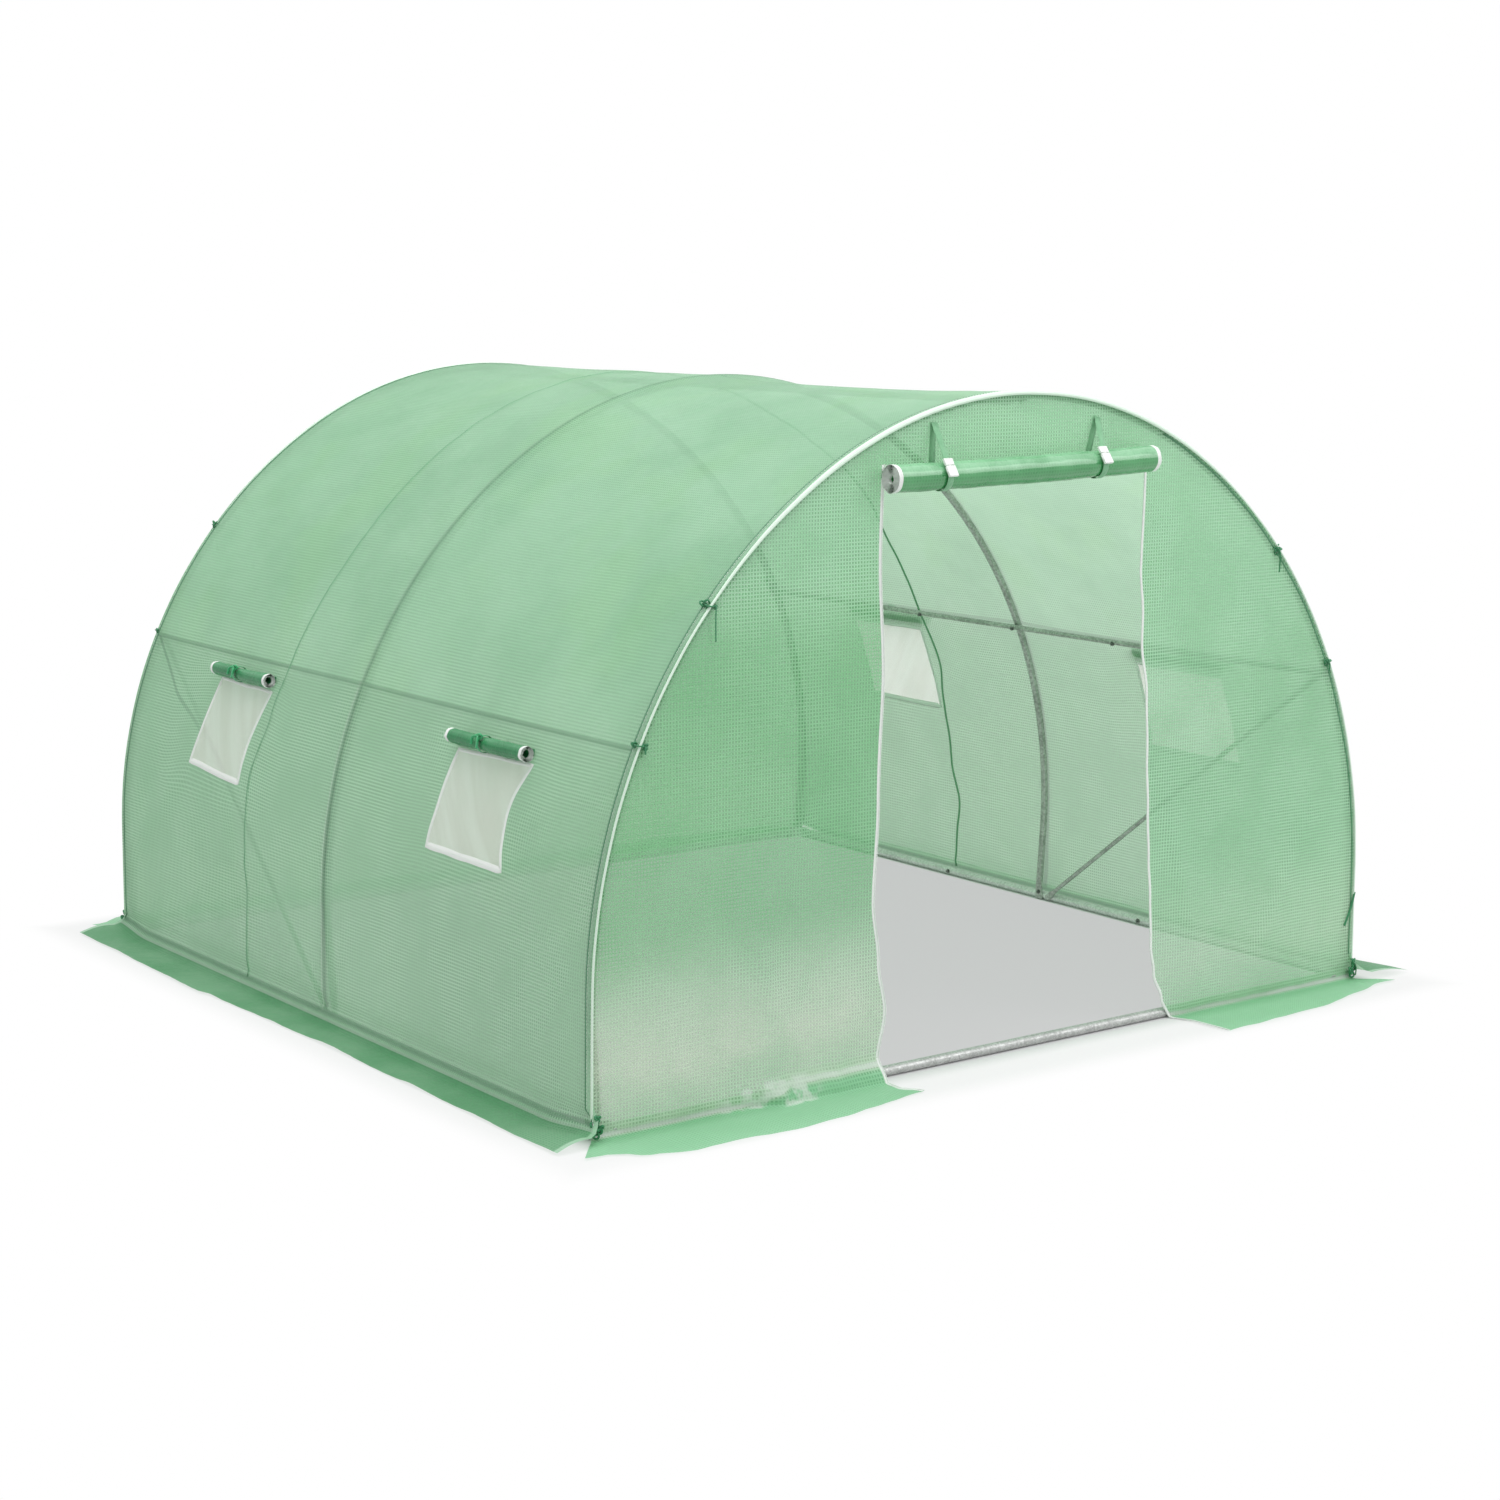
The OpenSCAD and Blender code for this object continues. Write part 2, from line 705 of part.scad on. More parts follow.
hoop(-end_y);  // front_hoop
hoop(0);  // mid_hoop
hoop(end_y);  // rear_hoop
left_side() side_purlin();  // left_purlin
side_purlin();  // right_purlin
ridge_purlin();
left_side() side_rail();  // left_base_rail
side_rail();  // right_base_rail
rear_to_front() end_rail();  // front_base_rail
end_rail();  // rear_base_rail
left_side() brace();  // left_rear_brace
rear_to_front() brace();  // right_front_brace
left_side() side_wall(-barrel_y, seam_front, -win_y);  // left_front_wall
left_side() side_wall(seam_rear, barrel_y, win_y);  // left_rear_wall
side_wall(-barrel_y, seam_front, -win_y);  // right_front_wall
side_wall(seam_rear, barrel_y, win_y);  // right_rear_wall
roof(-barrel_y, seam_front);  // front_roof
roof(seam_rear, barrel_y);  // rear_roof
end_panel(-width, door_left);  // front_left_panel
end_panel(door_right, width);  // front_right_panel
over_door_panel();
rear_to_front() end_panel(-width, width);  // rear_panel
left_side() window_screen(-win_y);  // left_front_screen
left_side() window_screen(win_y);  // left_rear_screen
window_screen(-win_y);  // right_front_screen
window_screen(win_y);  // right_rear_screen
left_side() window_flap(-win_y);  // left_front_flap
left_side() window_flap(win_y);  // left_rear_flap
window_flap(-win_y);  // right_front_flap
window_flap(win_y);  // right_rear_flap
window_ties();
door_roll();
door_straps();
door_buckles();
door_zips();
piping();  // front_piping
rear_to_front() piping();  // rear_piping
cover_ties();
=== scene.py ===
"""Looks of the walk-in polytunnel greenhouse: sheet cover, mesh windows, rolled door, ties and steel frame.

Metres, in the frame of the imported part: X across, -Y out of the doorway, Z up from the ground.
"""
import math

import bpy
from mathutils import Matrix, Vector, noise


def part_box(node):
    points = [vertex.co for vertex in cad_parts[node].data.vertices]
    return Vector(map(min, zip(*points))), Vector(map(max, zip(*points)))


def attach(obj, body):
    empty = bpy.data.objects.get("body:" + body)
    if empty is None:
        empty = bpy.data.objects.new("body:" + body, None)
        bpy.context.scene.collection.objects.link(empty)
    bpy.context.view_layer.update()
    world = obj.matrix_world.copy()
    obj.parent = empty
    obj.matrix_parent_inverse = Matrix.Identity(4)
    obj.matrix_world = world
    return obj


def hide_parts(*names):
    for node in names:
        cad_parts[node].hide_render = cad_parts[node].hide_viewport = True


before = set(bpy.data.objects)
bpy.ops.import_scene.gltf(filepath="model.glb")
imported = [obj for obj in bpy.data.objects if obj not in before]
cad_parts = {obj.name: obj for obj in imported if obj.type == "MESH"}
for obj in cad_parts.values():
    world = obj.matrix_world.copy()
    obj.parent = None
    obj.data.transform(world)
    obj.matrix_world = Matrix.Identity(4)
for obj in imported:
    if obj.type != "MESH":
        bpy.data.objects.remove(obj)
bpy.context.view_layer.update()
BODY = "root"
SIDES = (-1, 1)
UP = Vector((0, 0, 1))

# Sizes of the tube frame, as in the part's source
WIDTH = 3.0
CROWN_R = 1.373
CROWN_A = math.radians(28.6)
LEG_LEAN = math.radians(3.8)
RAIL_D = 0.032
PURLIN_D = 0.019
PURLIN_Z = 1.06
FOOT_TOP = 0.046
FIT = 0.0003
FLAT_T = 0.004
SPLICE_Y = 0.53

# Sizes of the sewn cover
WINDOW_BOTTOM = 0.655
WINDOW_TOP = 0.955
WINDOW_W = 0.43
WINDOW_YS = (-0.8, 0.8)
BINDING_W = 0.014
SIDE_SKIRT = 0.16
END_SKIRT = 0.24
FOLD_R = 0.035
# Places across between which the foot of the left door panel starts to rumple
RUMPLE_XS = (-1.04, -0.84)
DOOR_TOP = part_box("over_door_panel")[0][2]
SEAM_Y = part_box("front_roof")[1][1]
PANEL_Y = -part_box("over_door_panel")[0][1] - 0.001

# The hoop line: straight legs, side bends and a crown that are tangent to each other
HOOP_R = (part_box("mid_hoop")[1][2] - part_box("ridge_purlin")[1][2] - FIT) / 2
HOOP_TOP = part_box("mid_hoop")[1][2] - HOOP_R
HOOP_YS = (-1.5, 0.0, 1.5)
END_Y = HOOP_YS[2]
RISE = HOOP_TOP - FOOT_TOP
SIDE_R = (
    WIDTH / 2 - CROWN_R * math.sin(CROWN_A) + math.tan(LEG_LEAN) * (RISE - CROWN_R * (1 - math.cos(CROWN_A)))
) / (math.cos(LEG_LEAN) - math.sin(CROWN_A) + math.tan(LEG_LEAN) * (math.cos(CROWN_A) + math.sin(LEG_LEAN)))
SIDE_X = (CROWN_R - SIDE_R) * math.sin(CROWN_A)
CROWN_Z = HOOP_TOP - CROWN_R
SIDE_Z = CROWN_Z + (CROWN_R - SIDE_R) * math.cos(CROWN_A)
PURLIN_A = math.acos((PURLIN_Z - SIDE_Z) / SIDE_R)

# The cover line: the hoop line moved out by half a tube, then a wall tangent to the ground rail
COVER_OFF = HOOP_R + 2 * FIT
ROOF_R = CROWN_R + COVER_OFF
WALL_R = SIDE_R + COVER_OFF
RAIL_OUT_X = WIDTH / 2 + FLAT_T / 2 + RAIL_D + 2 * FIT
WALL_TILT = math.acos(WALL_R / math.hypot(RAIL_OUT_X - SIDE_X, SIDE_Z - RAIL_D / 2)) - math.atan2(
    SIDE_Z - RAIL_D / 2, RAIL_OUT_X - SIDE_X
)
WALL_A = math.pi / 2 - WALL_TILT
WALL_TOP = Vector((SIDE_X + WALL_R * math.cos(WALL_TILT), SIDE_Z + WALL_R * math.sin(WALL_TILT)))
GROUND_Z = 0.0015
WALL_LEN = (WALL_TOP.y - GROUND_Z - FOLD_R) / math.cos(WALL_TILT)
FOLD_A = math.pi / 2 - WALL_TILT
S_CROWN = ROOF_R * CROWN_A
S_SIDE = S_CROWN + WALL_R * (WALL_A - CROWN_A)
S_WALL = S_SIDE + WALL_LEN
S_FOLD = S_WALL + FOLD_R * FOLD_A
S_EDGE = S_FOLD + SIDE_SKIRT - FOLD_R
S_PURLIN = S_CROWN + WALL_R * (PURLIN_A - CROWN_A)
ARCH_TOP = CROWN_Z + ROOF_R


def smooth(low, high, x):
    """S-curve from 0 at low to 1 at high, whichever of the two is larger."""
    t = min(1.0, max(0.0, (x - low) / (high - low)))
    return t * t * (3 - 2 * t)


def bell(x, width):
    return math.exp(-((x / width) ** 2))


def through(points, x):
    """Smooth curve through (x, value) points listed in rising x."""
    if x <= points[0][0]:
        return points[0][1]
    for (x0, y0), (x1, y1) in zip(points, points[1:]):
        if x <= x1:
            return y0 + (y1 - y0) * smooth(x0, x1, x)
    return points[-1][1]


def wander(x, y, seed):
    """Gentle unevenness from -1 to 1."""
    return noise.noise(Vector((x, y, seed)))


def lines(start, stop, step, at=()):
    """Grid lines about a step apart from start to stop, with a line at each place in at."""
    marks = sorted({start, stop, *(a for a in at if start < a < stop)})
    out = []
    for low, high in zip(marks, marks[1:]):
        n = max(1, round((high - low) / step))
        out += [low + (high - low) * i / n for i in range(n)]
    return out + [stop]


# Cover line and the slack of the sheet on it

# Folds of the walls, as (length along the tunnel, height) of both ends, half width and depth
WALL_FOLDS = [
    ((-0.98, 0.70), (-1.42, 0.40), 0.045, 0.006),
    ((-0.62, 0.66), (-0.30, 0.28), 0.05, -0.005),
    ((-0.10, 0.26), (-0.045, 0.03), 0.018, 0.008),
    ((0.09, 0.20), (0.05, 0.03), 0.016, 0.006),
    ((-1.44, 0.50), (-1.47, 0.05), 0.022, 0.006),
    ((0.70, 0.64), (0.56, 0.20), 0.04, -0.005),
    ((1.02, 0.68), (1.40, 0.34), 0.05, 0.005),
    ((1.44, 0.42), (1.47, 0.06), 0.022, 0.006),
    ((-0.35, 1.02), (-0.05, 0.72), 0.05, -0.004),
]
# Width of the side skirts along the tunnel, as a share of their cut width
SKIRT_WIDTHS = {
    -1: [
        (-1.5, 0.86), (-0.8, 0.80), (-0.25, 0.78), (0.15, 0.84), (0.5, 0.93), (0.56, 1.06), (1.3, 0.92),
        (1.5, 0.9),
    ],
    1: [(-1.5, 1.5), (-1.34, 1.2), (-1.0, 0.95), (0.2, 0.86), (0.52, 0.9), (0.58, 1.0), (1.5, 0.9)],
}


def cover_line(s):
    """Point and outward direction of the taut cover at length s from the ridge, positive to the right."""
    side, s = (1 if s >= 0 else -1), abs(s)
    if s < S_CROWN:
        a = s / ROOF_R
        x, z, nx, nz = ROOF_R * math.sin(a), CROWN_Z + ROOF_R * math.cos(a), math.sin(a), math.cos(a)
    elif s < S_SIDE:
        a = CROWN_A + (s - S_CROWN) / WALL_R
        x, z, nx, nz = SIDE_X + WALL_R * math.sin(a), SIDE_Z + WALL_R * math.cos(a), math.sin(a), math.cos(a)
    elif s < S_WALL:
        d = s - S_SIDE
        nx, nz = math.cos(WALL_TILT), math.sin(WALL_TILT)
        x, z = WALL_TOP.x + d * nz, WALL_TOP.y - d * nx
    else:
        foot = (WALL_TOP.x + WALL_LEN * math.sin(WALL_TILT), WALL_TOP.y - WALL_LEN * math.cos(WALL_TILT))
        a = min(s - S_WALL, S_FOLD - S_WALL) / FOLD_R + WALL_TILT
        nx, nz = math.cos(a), math.sin(a)
        cx, cz = foot[0] + FOLD_R * math.cos(WALL_TILT), foot[1] + FOLD_R * math.sin(WALL_TILT)
        x, z = cx - FOLD_R * nx + max(0.0, s - S_FOLD), cz - FOLD_R * nz
    return Vector((side * x, 0, z)), Vector((side * nx, 0, nz))


def sag_depth(s, y):
    """How far the sheet sinks between the hoops: it lies near the purlins and stands out a little below them.
    The roof is slack in the front bay and nearly taut in the rear one."""
    s = abs(s)
    rest = 0.015
    ridge = 0.018 if y < 0 else 0.004
    if s < S_PURLIN:
        return ridge + (rest - ridge) * s / S_PURLIN + 0.007 * math.sin(math.pi * s / S_PURLIN)
    down = min(1.0, (s - S_PURLIN) / (S_WALL - S_PURLIN))
    return rest * (1 - down) - 0.004 * math.sin(math.pi * down)


def hoop_gap(y):
    return min(abs(y - hoop) for hoop in HOOP_YS)


def bay_slack(y):
    """0 on the hoops and 1 in the middle of a bay."""
    steep = 4.0 if -END_Y / 2 < y < 0 else 2.4
    return 1 - (1 - min(1.0, hoop_gap(y) / (END_Y / 2))) ** steep


def hoop_ridge(y):
    """The sheet is drawn tight over the middle hoop, with a hollow on both sides of it."""
    return 0.0035 * bell(y, 0.012) - 0.0025 * bell(abs(y) - 0.04, 0.02)


def fold_depth(folds, x, z):
    """Height of slanting folds at a place."""
    total = 0.0
    for (x0, z0), (x1, z1), width, depth in folds:
        dx, dz = x1 - x0, z1 - z0
        along = ((x - x0) * dx + (z - z0) * dz) / (dx * dx + dz * dz)
        if -0.2 < along < 1.2:
            off = ((x - x0) * dz - (z - z0) * dx) / math.hypot(dx, dz)
            total += depth * bell(off, width) * smooth(-0.2, 0.25, along) * smooth(1.2, 0.8, along)
    return total


def ripples(s, y):
    """Soft unevenness of the sheet, finer and slanting on the walls."""
    low = smooth(S_PURLIN, S_WALL, abs(s))
    broad = 0.0045 * wander(s * 1.7, y * 2.3, 0.3) + 0.0018 * wander(s * 5.0, y * 6.0, 4.1)
    slant = 0.0024 * low * wander((s + y) * 7.0, (s - y) * 1.2, 8.7)
    seam = 0.004 * bell(y - SEAM_Y, 0.05) * wander(s * 11.0, 0, 2.2)
    crisp = 0.0024 * (0.4 - 2 * abs(wander(s * 5.5 + y, y * 4.5 - s, 9.4)))
    held = smooth(0.01, 0.1, abs(abs(s) - S_PURLIN)) * smooth(0.01, 0.1, abs(s))
    folds = fold_depth(WALL_FOLDS, y, cover_line(s)[0].z)
    return held * (broad + slant + seam + crisp + folds)


def skirt_ripple(s, y):
    """Lift of the skirt off the ground, in low waves that grow towards its edge."""
    out = smooth(S_WALL, S_EDGE, abs(s))
    wave = 0.5 + 0.5 * wander(math.copysign(3.0, s), y * 5.0, 1.4)
    fine = 0.5 + 0.5 * wander(s * 14.0, y * 16.0, 6.2)
    return out * (0.011 * wave * wave + 0.004 * fine)


def rail_crease(s):
    """Bulge of the sheet over the ground rail, with a hollow above it."""
    z = cover_line(s)[0].z
    return 0.003 * bell(z - 0.018, 0.012) - 0.006 * bell(z - 0.06, 0.018) if abs(s) > S_SIDE else 0.0


def barrel(s, y, lift=0.0):
    """Point of the slack barrel of the cover, raised by lift along its outward direction."""
    point, out = cover_line(s)
    wall = 1 - smooth(S_WALL - 0.1, S_WALL, abs(s))
    free = smooth(0.012, 0.11, hoop_gap(y))
    slack = wall * (free * ripples(s, y) - sag_depth(s, y) * bay_slack(y) + hoop_ridge(y))
    slack += (1 - wall) * skirt_ripple(s, y) + rail_crease(s)
    place = point + out * (slack + lift)
    if abs(s) > S_FOLD:
        side = 1 if s > 0 else -1
        place.x += side * (abs(s) - S_FOLD) * (through(SKIRT_WIDTHS[side], y) - 1)
    reach = min(1.0, max(0.0, (abs(s) - S_WALL + 0.05) / (S_EDGE - S_WALL + 0.05)))
    place.z += 0.026 * smooth(1.3, END_Y, abs(y)) * math.sin(math.pi * reach)
    place.y = y + 0.055 * smooth(1.2, END_Y, y) * reach
    place.y -= 0.06 * smooth(-1.3, -END_Y, y) * min(1.0, 2.5 * reach)
    return place


def window_s(z, side):
    """Length along the cover line at which the side bend reaches height z."""
    return side * (S_CROWN + WALL_R * (math.acos((z - SIDE_Z) / WALL_R) - CROWN_A))


# Corners of the windows as they hang, each as (place along the tunnel, height): top rear, top front,
# bottom rear and bottom front
WINDOW_CORNERS = {
    (-1, -0.8): ((-0.640, 0.955), (-1.045, 0.962), (-0.586, 0.666), (-1.020, 0.662)),
    (-1, 0.8): ((0.930, 0.982), (0.568, 0.975), (1.005, 0.692), (0.645, 0.668)),
    (1, -0.8): ((-0.590, 0.985), (-1.000, 0.980), (-0.575, 0.668), (-1.010, 0.660)),
    (1, 0.8): ((1.010, 0.985), (0.600, 0.985), (1.000, 0.672), (0.585, 0.668)),
}
# How far the front edge of a window bows to the rear
WINDOW_BOWS = {(-1, -0.8): 0.045, (-1, 0.8): 0.02}
PULL_ALONG = 0.22
PULL_DOWN = 0.10


def pulled(s, y):
    """Where the slack sheet carries the point cut at s and y: each window hangs askew in its wall."""
    side = 1 if s > 0 else -1
    top, bottom = window_s(WINDOW_TOP, 1), window_s(WINDOW_BOTTOM, 1)
    for y_mid in WINDOW_YS:
        across = (y_mid + WINDOW_W / 2 - y) / WINDOW_W
        down = (abs(s) - top) / (bottom - top)
        a, b = min(1.0, max(0.0, across)), min(1.0, max(0.0, down))
        far = math.hypot((across - a) * WINDOW_W / PULL_ALONG, (down - b) * (bottom - top) / PULL_DOWN)
        if far < 1:
            shares = ((1 - a) * (1 - b), a * (1 - b), (1 - a) * b, a * b)
            corners = WINDOW_CORNERS[side, y_mid]
            hung_y = sum(share * corner[0] for share, corner in zip(shares, corners))
            hung_s = sum(share * window_s(corner[1], 1) for share, corner in zip(shares, corners))
            hold = smooth(1.0, 0.0, far)
            hung_y += WINDOW_BOWS.get((side, y_mid), 0.0) * a * math.sin(math.pi * b)
            y += hold * (hung_y - (y_mid + (0.5 - a) * WINDOW_W))
            s += side * hold * (hung_s - (top + b * (bottom - top)))
            return s, y
    return s, y


def arch_x(z):
    """Half width of the taut cover at height z."""
    if z > CROWN_Z + ROOF_R * math.cos(CROWN_A):
        return math.sqrt(max(0.0, ROOF_R**2 - (z - CROWN_Z) ** 2))
    if z > WALL_TOP.y:
        return SIDE_X + math.sqrt(WALL_R**2 - (z - SIDE_Z) ** 2)
    return WALL_TOP.x + (WALL_TOP.y - z) * math.tan(WALL_TILT)


# Building meshes


def linked(name, data):
    """New object in the scene."""
    thing = bpy.data.objects.new(name, data)
    bpy.context.collection.objects.link(thing)
    return thing


def plain_mesh(piece):
    """The mesh that an object's modifiers make."""
    return bpy.data.meshes.new_from_object(piece.evaluated_get(bpy.context.evaluated_depsgraph_get()))


def finish_piece(name, mesh, materials, replaced=()):
    """Makes a mesh an object of the part, riding on its one body."""
    for material in materials:
        mesh.materials.append(material)
    piece = linked(name, mesh)
    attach(piece, BODY)
    if replaced:
        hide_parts(*replaced)
    return piece


class Shape:
    """Collects points, faces and flat coordinates for one mesh."""

    def __init__(self):
        self.points, self.faces, self.flats, self.looks = [], [], [], []

    def point(self, place, flat=(0.0, 0.0)):
        self.points.append(tuple(place))
        self.flats.append(tuple(flat))
        return len(self.points) - 1

    def face(self, corners, look=0):
        corners = [c for i, c in enumerate(corners) if c not in corners[:i]]
        if len(corners) > 2:
            self.faces.append(corners)
            self.looks.append(look)

    def grid(self, rows, look=lambda i, j: 0, skip=lambda i, j: False, turn=False):
        """Faces between rows of point numbers."""
        for i in range(len(rows) - 1):
            for j in range(len(rows[i]) - 1):
                if not skip(i, j):
                    corners = [rows[i][j], rows[i][j + 1], rows[i + 1][j + 1], rows[i + 1][j]]
                    self.face(corners[::-1] if turn else corners, look(i, j))

    def sweep(self, steps, profile, closed=False, look=0):
        """Profile carried along steps of (place, across, out, length so far); flat ends unless closed."""
        rings = []
        for place, across, out, length in steps:
            ring = [self.point(place + across * u + out * v, (length, u)) for u, v in profile]
            rings.append(ring + ring[:1])
        if closed:
            rings.append(rings[0])
        self.grid(rings, look=lambda i, j: look)
        if not closed:
            self.face(rings[0][:-1][::-1], look)
            self.face(rings[-1][:-1], look)

    def slab(self, outline, low, high, at, look=0):
        """Outline in (across, along) raised from low to high; at(across, along, out) gives the place."""
        rings = [[self.point(at(u, v, w), (u, v)) for u, v in outline] for w in (low, high)]
        self.grid([ring + ring[:1] for ring in rings], look=lambda i, j: look)
        self.face(rings[0][::-1], look)
        self.face(rings[1], look)

    def mesh(self, name, smooth_faces=True):
        mesh = bpy.data.meshes.new(name)
        mesh.from_pydata(self.points, [], self.faces)
        layer = mesh.uv_layers.new(name="flat")
        for loop in mesh.loops:
            layer.data[loop.index].uv = self.flats[loop.vertex_index]
        for polygon, look in zip(mesh.polygons, self.looks):
            polygon.use_smooth = smooth_faces
            polygon.material_index = look
        mesh.validate()
        return mesh

    def piece(self, name, materials, slot, replaced=()):
        return finish_piece(name, self.mesh(name), materials, replaced)


def swept(name, steps, profile, material, slot, replaced=(), closed=False):
    """Piece made of one profile carried along steps."""
    shape = Shape()
    shape.sweep(steps, profile, closed)
    return shape.piece(name, [material], slot, replaced)


def flat_profile(width, thick, base=0.0):
    """Cross-section of a tape with eased edges, standing on its lower face at base."""
    e = min(thick, width) * 0.3
    w, t = width / 2, base + thick
    return [(-w, base), (w, base), (w, t - e), (w - e, t), (-w + e, t), (-w, t - e)]


def round_profile(radius, n=10, flatten=1.0):
    """Round or oval cross-section; flatten is its height as a share of its width."""
    turns = [2 * math.pi * i / n for i in range(n)]
    return [(radius * math.cos(a), radius * flatten * math.sin(a)) for a in turns]


def steps_along(places, outs, closed=False):
    """Sweep steps through places, each with its outward direction."""
    steps, length = [], 0.0
    n = len(places)
    for i, (place, out) in enumerate(zip(places, outs)):
        before = places[(i - 1) % n] if closed or i else place
        after = places[(i + 1) % n] if closed or i < n - 1 else place
        run = (after - before).normalized()
        out = (out - run * out.dot(run)).normalized()
        if i:
            length += (place - places[i - 1]).length
        steps.append((place, run.cross(out), out, length))
    return steps


def free_steps(places):
    """Sweep steps along a free path, its side direction carried on from step to step."""
    out = (places[1] - places[0]).orthogonal()
    outs = []
    for i, place in enumerate(places):
        run = places[min(i + 1, len(places) - 1)] - places[max(i - 1, 0)]
        run.normalize()
        out = (out - run * out.dot(run)).normalized()
        outs.append(out)
    return steps_along(places, outs)


def curve_through(points, per=8):
    """Places on a smooth curve through given points."""
    points = [Vector(p) for p in points]
    out = []
    for i in range(len(points) - 1):
        p0, p1, p2 = points[max(0, i - 1)], points[i], points[i + 1]
        p3 = points[min(len(points) - 1, i + 2)]
        for k in range(per):
            t = k / per
            bend = (2 * p0 - 5 * p1 + 4 * p2 - p3) * t * t + (3 * p1 - p0 - 3 * p2 + p3) * t**3
            out.append(0.5 * (2 * p1 + (p2 - p0) * t + bend))
    return out + [points[-1]]


# Materials


class Nodes:
    """Builds a node tree link by link."""

    prefix = "ShaderNode"

    def __init__(self, tree):
        self.tree = tree

    def node(self, kind, settings=None, **inputs):
        """Adds a node; inputs are named by their label, or i0, i1 ... by their place."""
        node = self.tree.nodes.new(self.prefix + kind if kind[0] != "*" else kind[1:])
        for key, value in (settings or {}).items():
            setattr(node, key, value)
        for key, value in inputs.items():
            key = int(key[1:]) if key[0] == "i" and key[1:].isdigit() else key.replace("_", " ")
            self.join(value, node.inputs[key])
        return node

    def join(self, value, socket):
        if isinstance(value, bpy.types.NodeSocket):
            self.tree.links.new(value, socket)
        else:
            socket.default_value = value

    def math(self, operation, a, b=0.0):
        return self.node("*ShaderNodeMath", {"operation": operation}, i0=a, i1=b).outputs[0]

    def times(self, value, *factors):
        """Product of all the values."""
        for factor in factors:
            value = self.math("MULTIPLY", value, factor)
        return value

    def most(self, value, *others):
        """Largest of all the values."""
        for other in others:
            value = self.math("MAXIMUM", value, other)
        return value

    def plus(self, a, b):
        return self.math("ADD", a, b)

    def minus(self, a, b):
        return self.math("SUBTRACT", a, b)

    def size(self, a):
        """The value without its sign."""
        return self.math("ABSOLUTE", a)


class Finish(Nodes):
    """One node material."""

    def __init__(self, name):
        self.material = bpy.data.materials.new(name)
        self.material.use_nodes = True
        super().__init__(self.material.node_tree)
        self.tree.nodes.clear()
        self.output = self.tree.nodes.new("ShaderNodeOutputMaterial")

    def ramp(self, value, low, high, to_low=0.0, to_high=1.0):
        node = self.node("MapRange", {"interpolation_type": "SMOOTHSTEP"}, Value=value)
        for key, number in zip(("From Min", "From Max", "To Min", "To Max"), (low, high, to_low, to_high)):
            node.inputs[key].default_value = number
        return node.outputs[0]

    def blend(self, factor, a, b):
        node = self.node("Mix", {"data_type": "RGBA"}, Factor=factor)
        for socket, value in ((node.inputs[6], a), (node.inputs[7], b)):
            self.join(value if isinstance(value, bpy.types.NodeSocket) else (*value, 1.0), socket)
        return node.outputs[2]

    def place(self):
        return self.node("TexCoord").outputs["Object"]

    def flat(self):
        return self.node("UVMap", {"uv_map": "flat"}).outputs[0]

    def split(self, vector):
        return self.node("SeparateXYZ", None, Vector=vector).outputs

    def noise(self, where, scale, detail=3.0, rough=0.5):
        node = self.node("TexNoise", None, Vector=where, Scale=scale, Detail=detail, Roughness=rough)
        return node.outputs[0]

    def bump(self, height, distance, strength=1.0, **over):
        return self.node("Bump", None, Height=height, Distance=distance, Strength=strength, **over).outputs[0]

    def mix(self, factor, a, b):
        node = self.node("MixShader")
        for socket, value in zip(node.inputs, (factor, a, b)):
            self.join(value, socket)
        return node.outputs[0]

    def skin(self, colour, rough, normal, specular=0.5, sheen=0.0, metallic=0.0, coat=0.0):
        skin = self.node("BsdfPrincipled", None, Base_Color=colour, Roughness=rough, Normal=normal)
        for key, value in (("Specular IOR Level", specular), ("Sheen Weight", sheen), ("Metallic", metallic)):
            skin.inputs[key].default_value = value
        skin.inputs["Coat Weight"].default_value = coat
        return skin.outputs[0]

    def done(self, shader):
        self.tree.links.new(shader, self.output.inputs[0])
        return self.material


THREAD_PITCH = 0.0105
THREAD_SHARE = 0.42


def threads(finish, pitch, share):
    """Mask of a square grid of threads on the sheet's own flat coordinates."""
    masks = []
    for axis in finish.split(finish.flat())[:2]:
        wave = finish.math("PINGPONG", axis, pitch / 2)
        masks.append(finish.ramp(wave, pitch * share * 0.35, pitch * share * 0.65, 1.0, 0.0))
    return finish.most(*masks)


# Painted light paling the end panels low down
PAINTED_LOW_LIGHT = (0.98, 1.0, 0.88)
# Painted highlight on creases and crinkles
PAINTED_CREASE_HIGHLIGHT = (0.90, 1.0, 0.91)
PALE_SLEEVE = (0.55, 0.86, 0.62)
# Painted shade of the tubes that lie behind the sheet
TUBE_SHADE = (0.13, 0.30, 0.18)
GREY_LIGHT = (0.64, 0.68, 0.62)
DEEP_PANEL = (0.05, 0.46, 0.09)
PANEL_SKIRT = (0.30, 0.76, 0.42)
# Painted shade of the walls below the purlins
PAINTED_WALL_SHADE = (0.12, 0.42, 0.18)
WALL_SKIRT = (0.06, 0.36, 0.13)
# Painted highlight on the top of a roll
PAINTED_ROLL_HIGHLIGHT = (0.50, 0.84, 0.58)
# Painted shade line along a brace: its place along the tunnel at the purlin, and its half width there
BRACE_TOP_Y = END_Y - 0.02
BRACE_HALF = 0.0135


def stripe(f, value, middle, half):
    """1 on a line of a flat coordinate, fading to 0 at both sides."""
    return f.ramp(f.size(f.minus(value, middle)), half * 0.55, half, 1.0, 0.0)


def woven(f, base, thread, grid, strength):
    """The threads over the film: they show in patches, and between those only their mean colour."""
    patch = f.ramp(f.noise(f.place(), 4.5, 3.0), 0.36, 0.6, 0.3, 1.0)
    shown = f.plus(f.times(f.minus(grid, 0.55), patch), 0.55)
    return f.blend(f.times(shown, strength), base, thread)


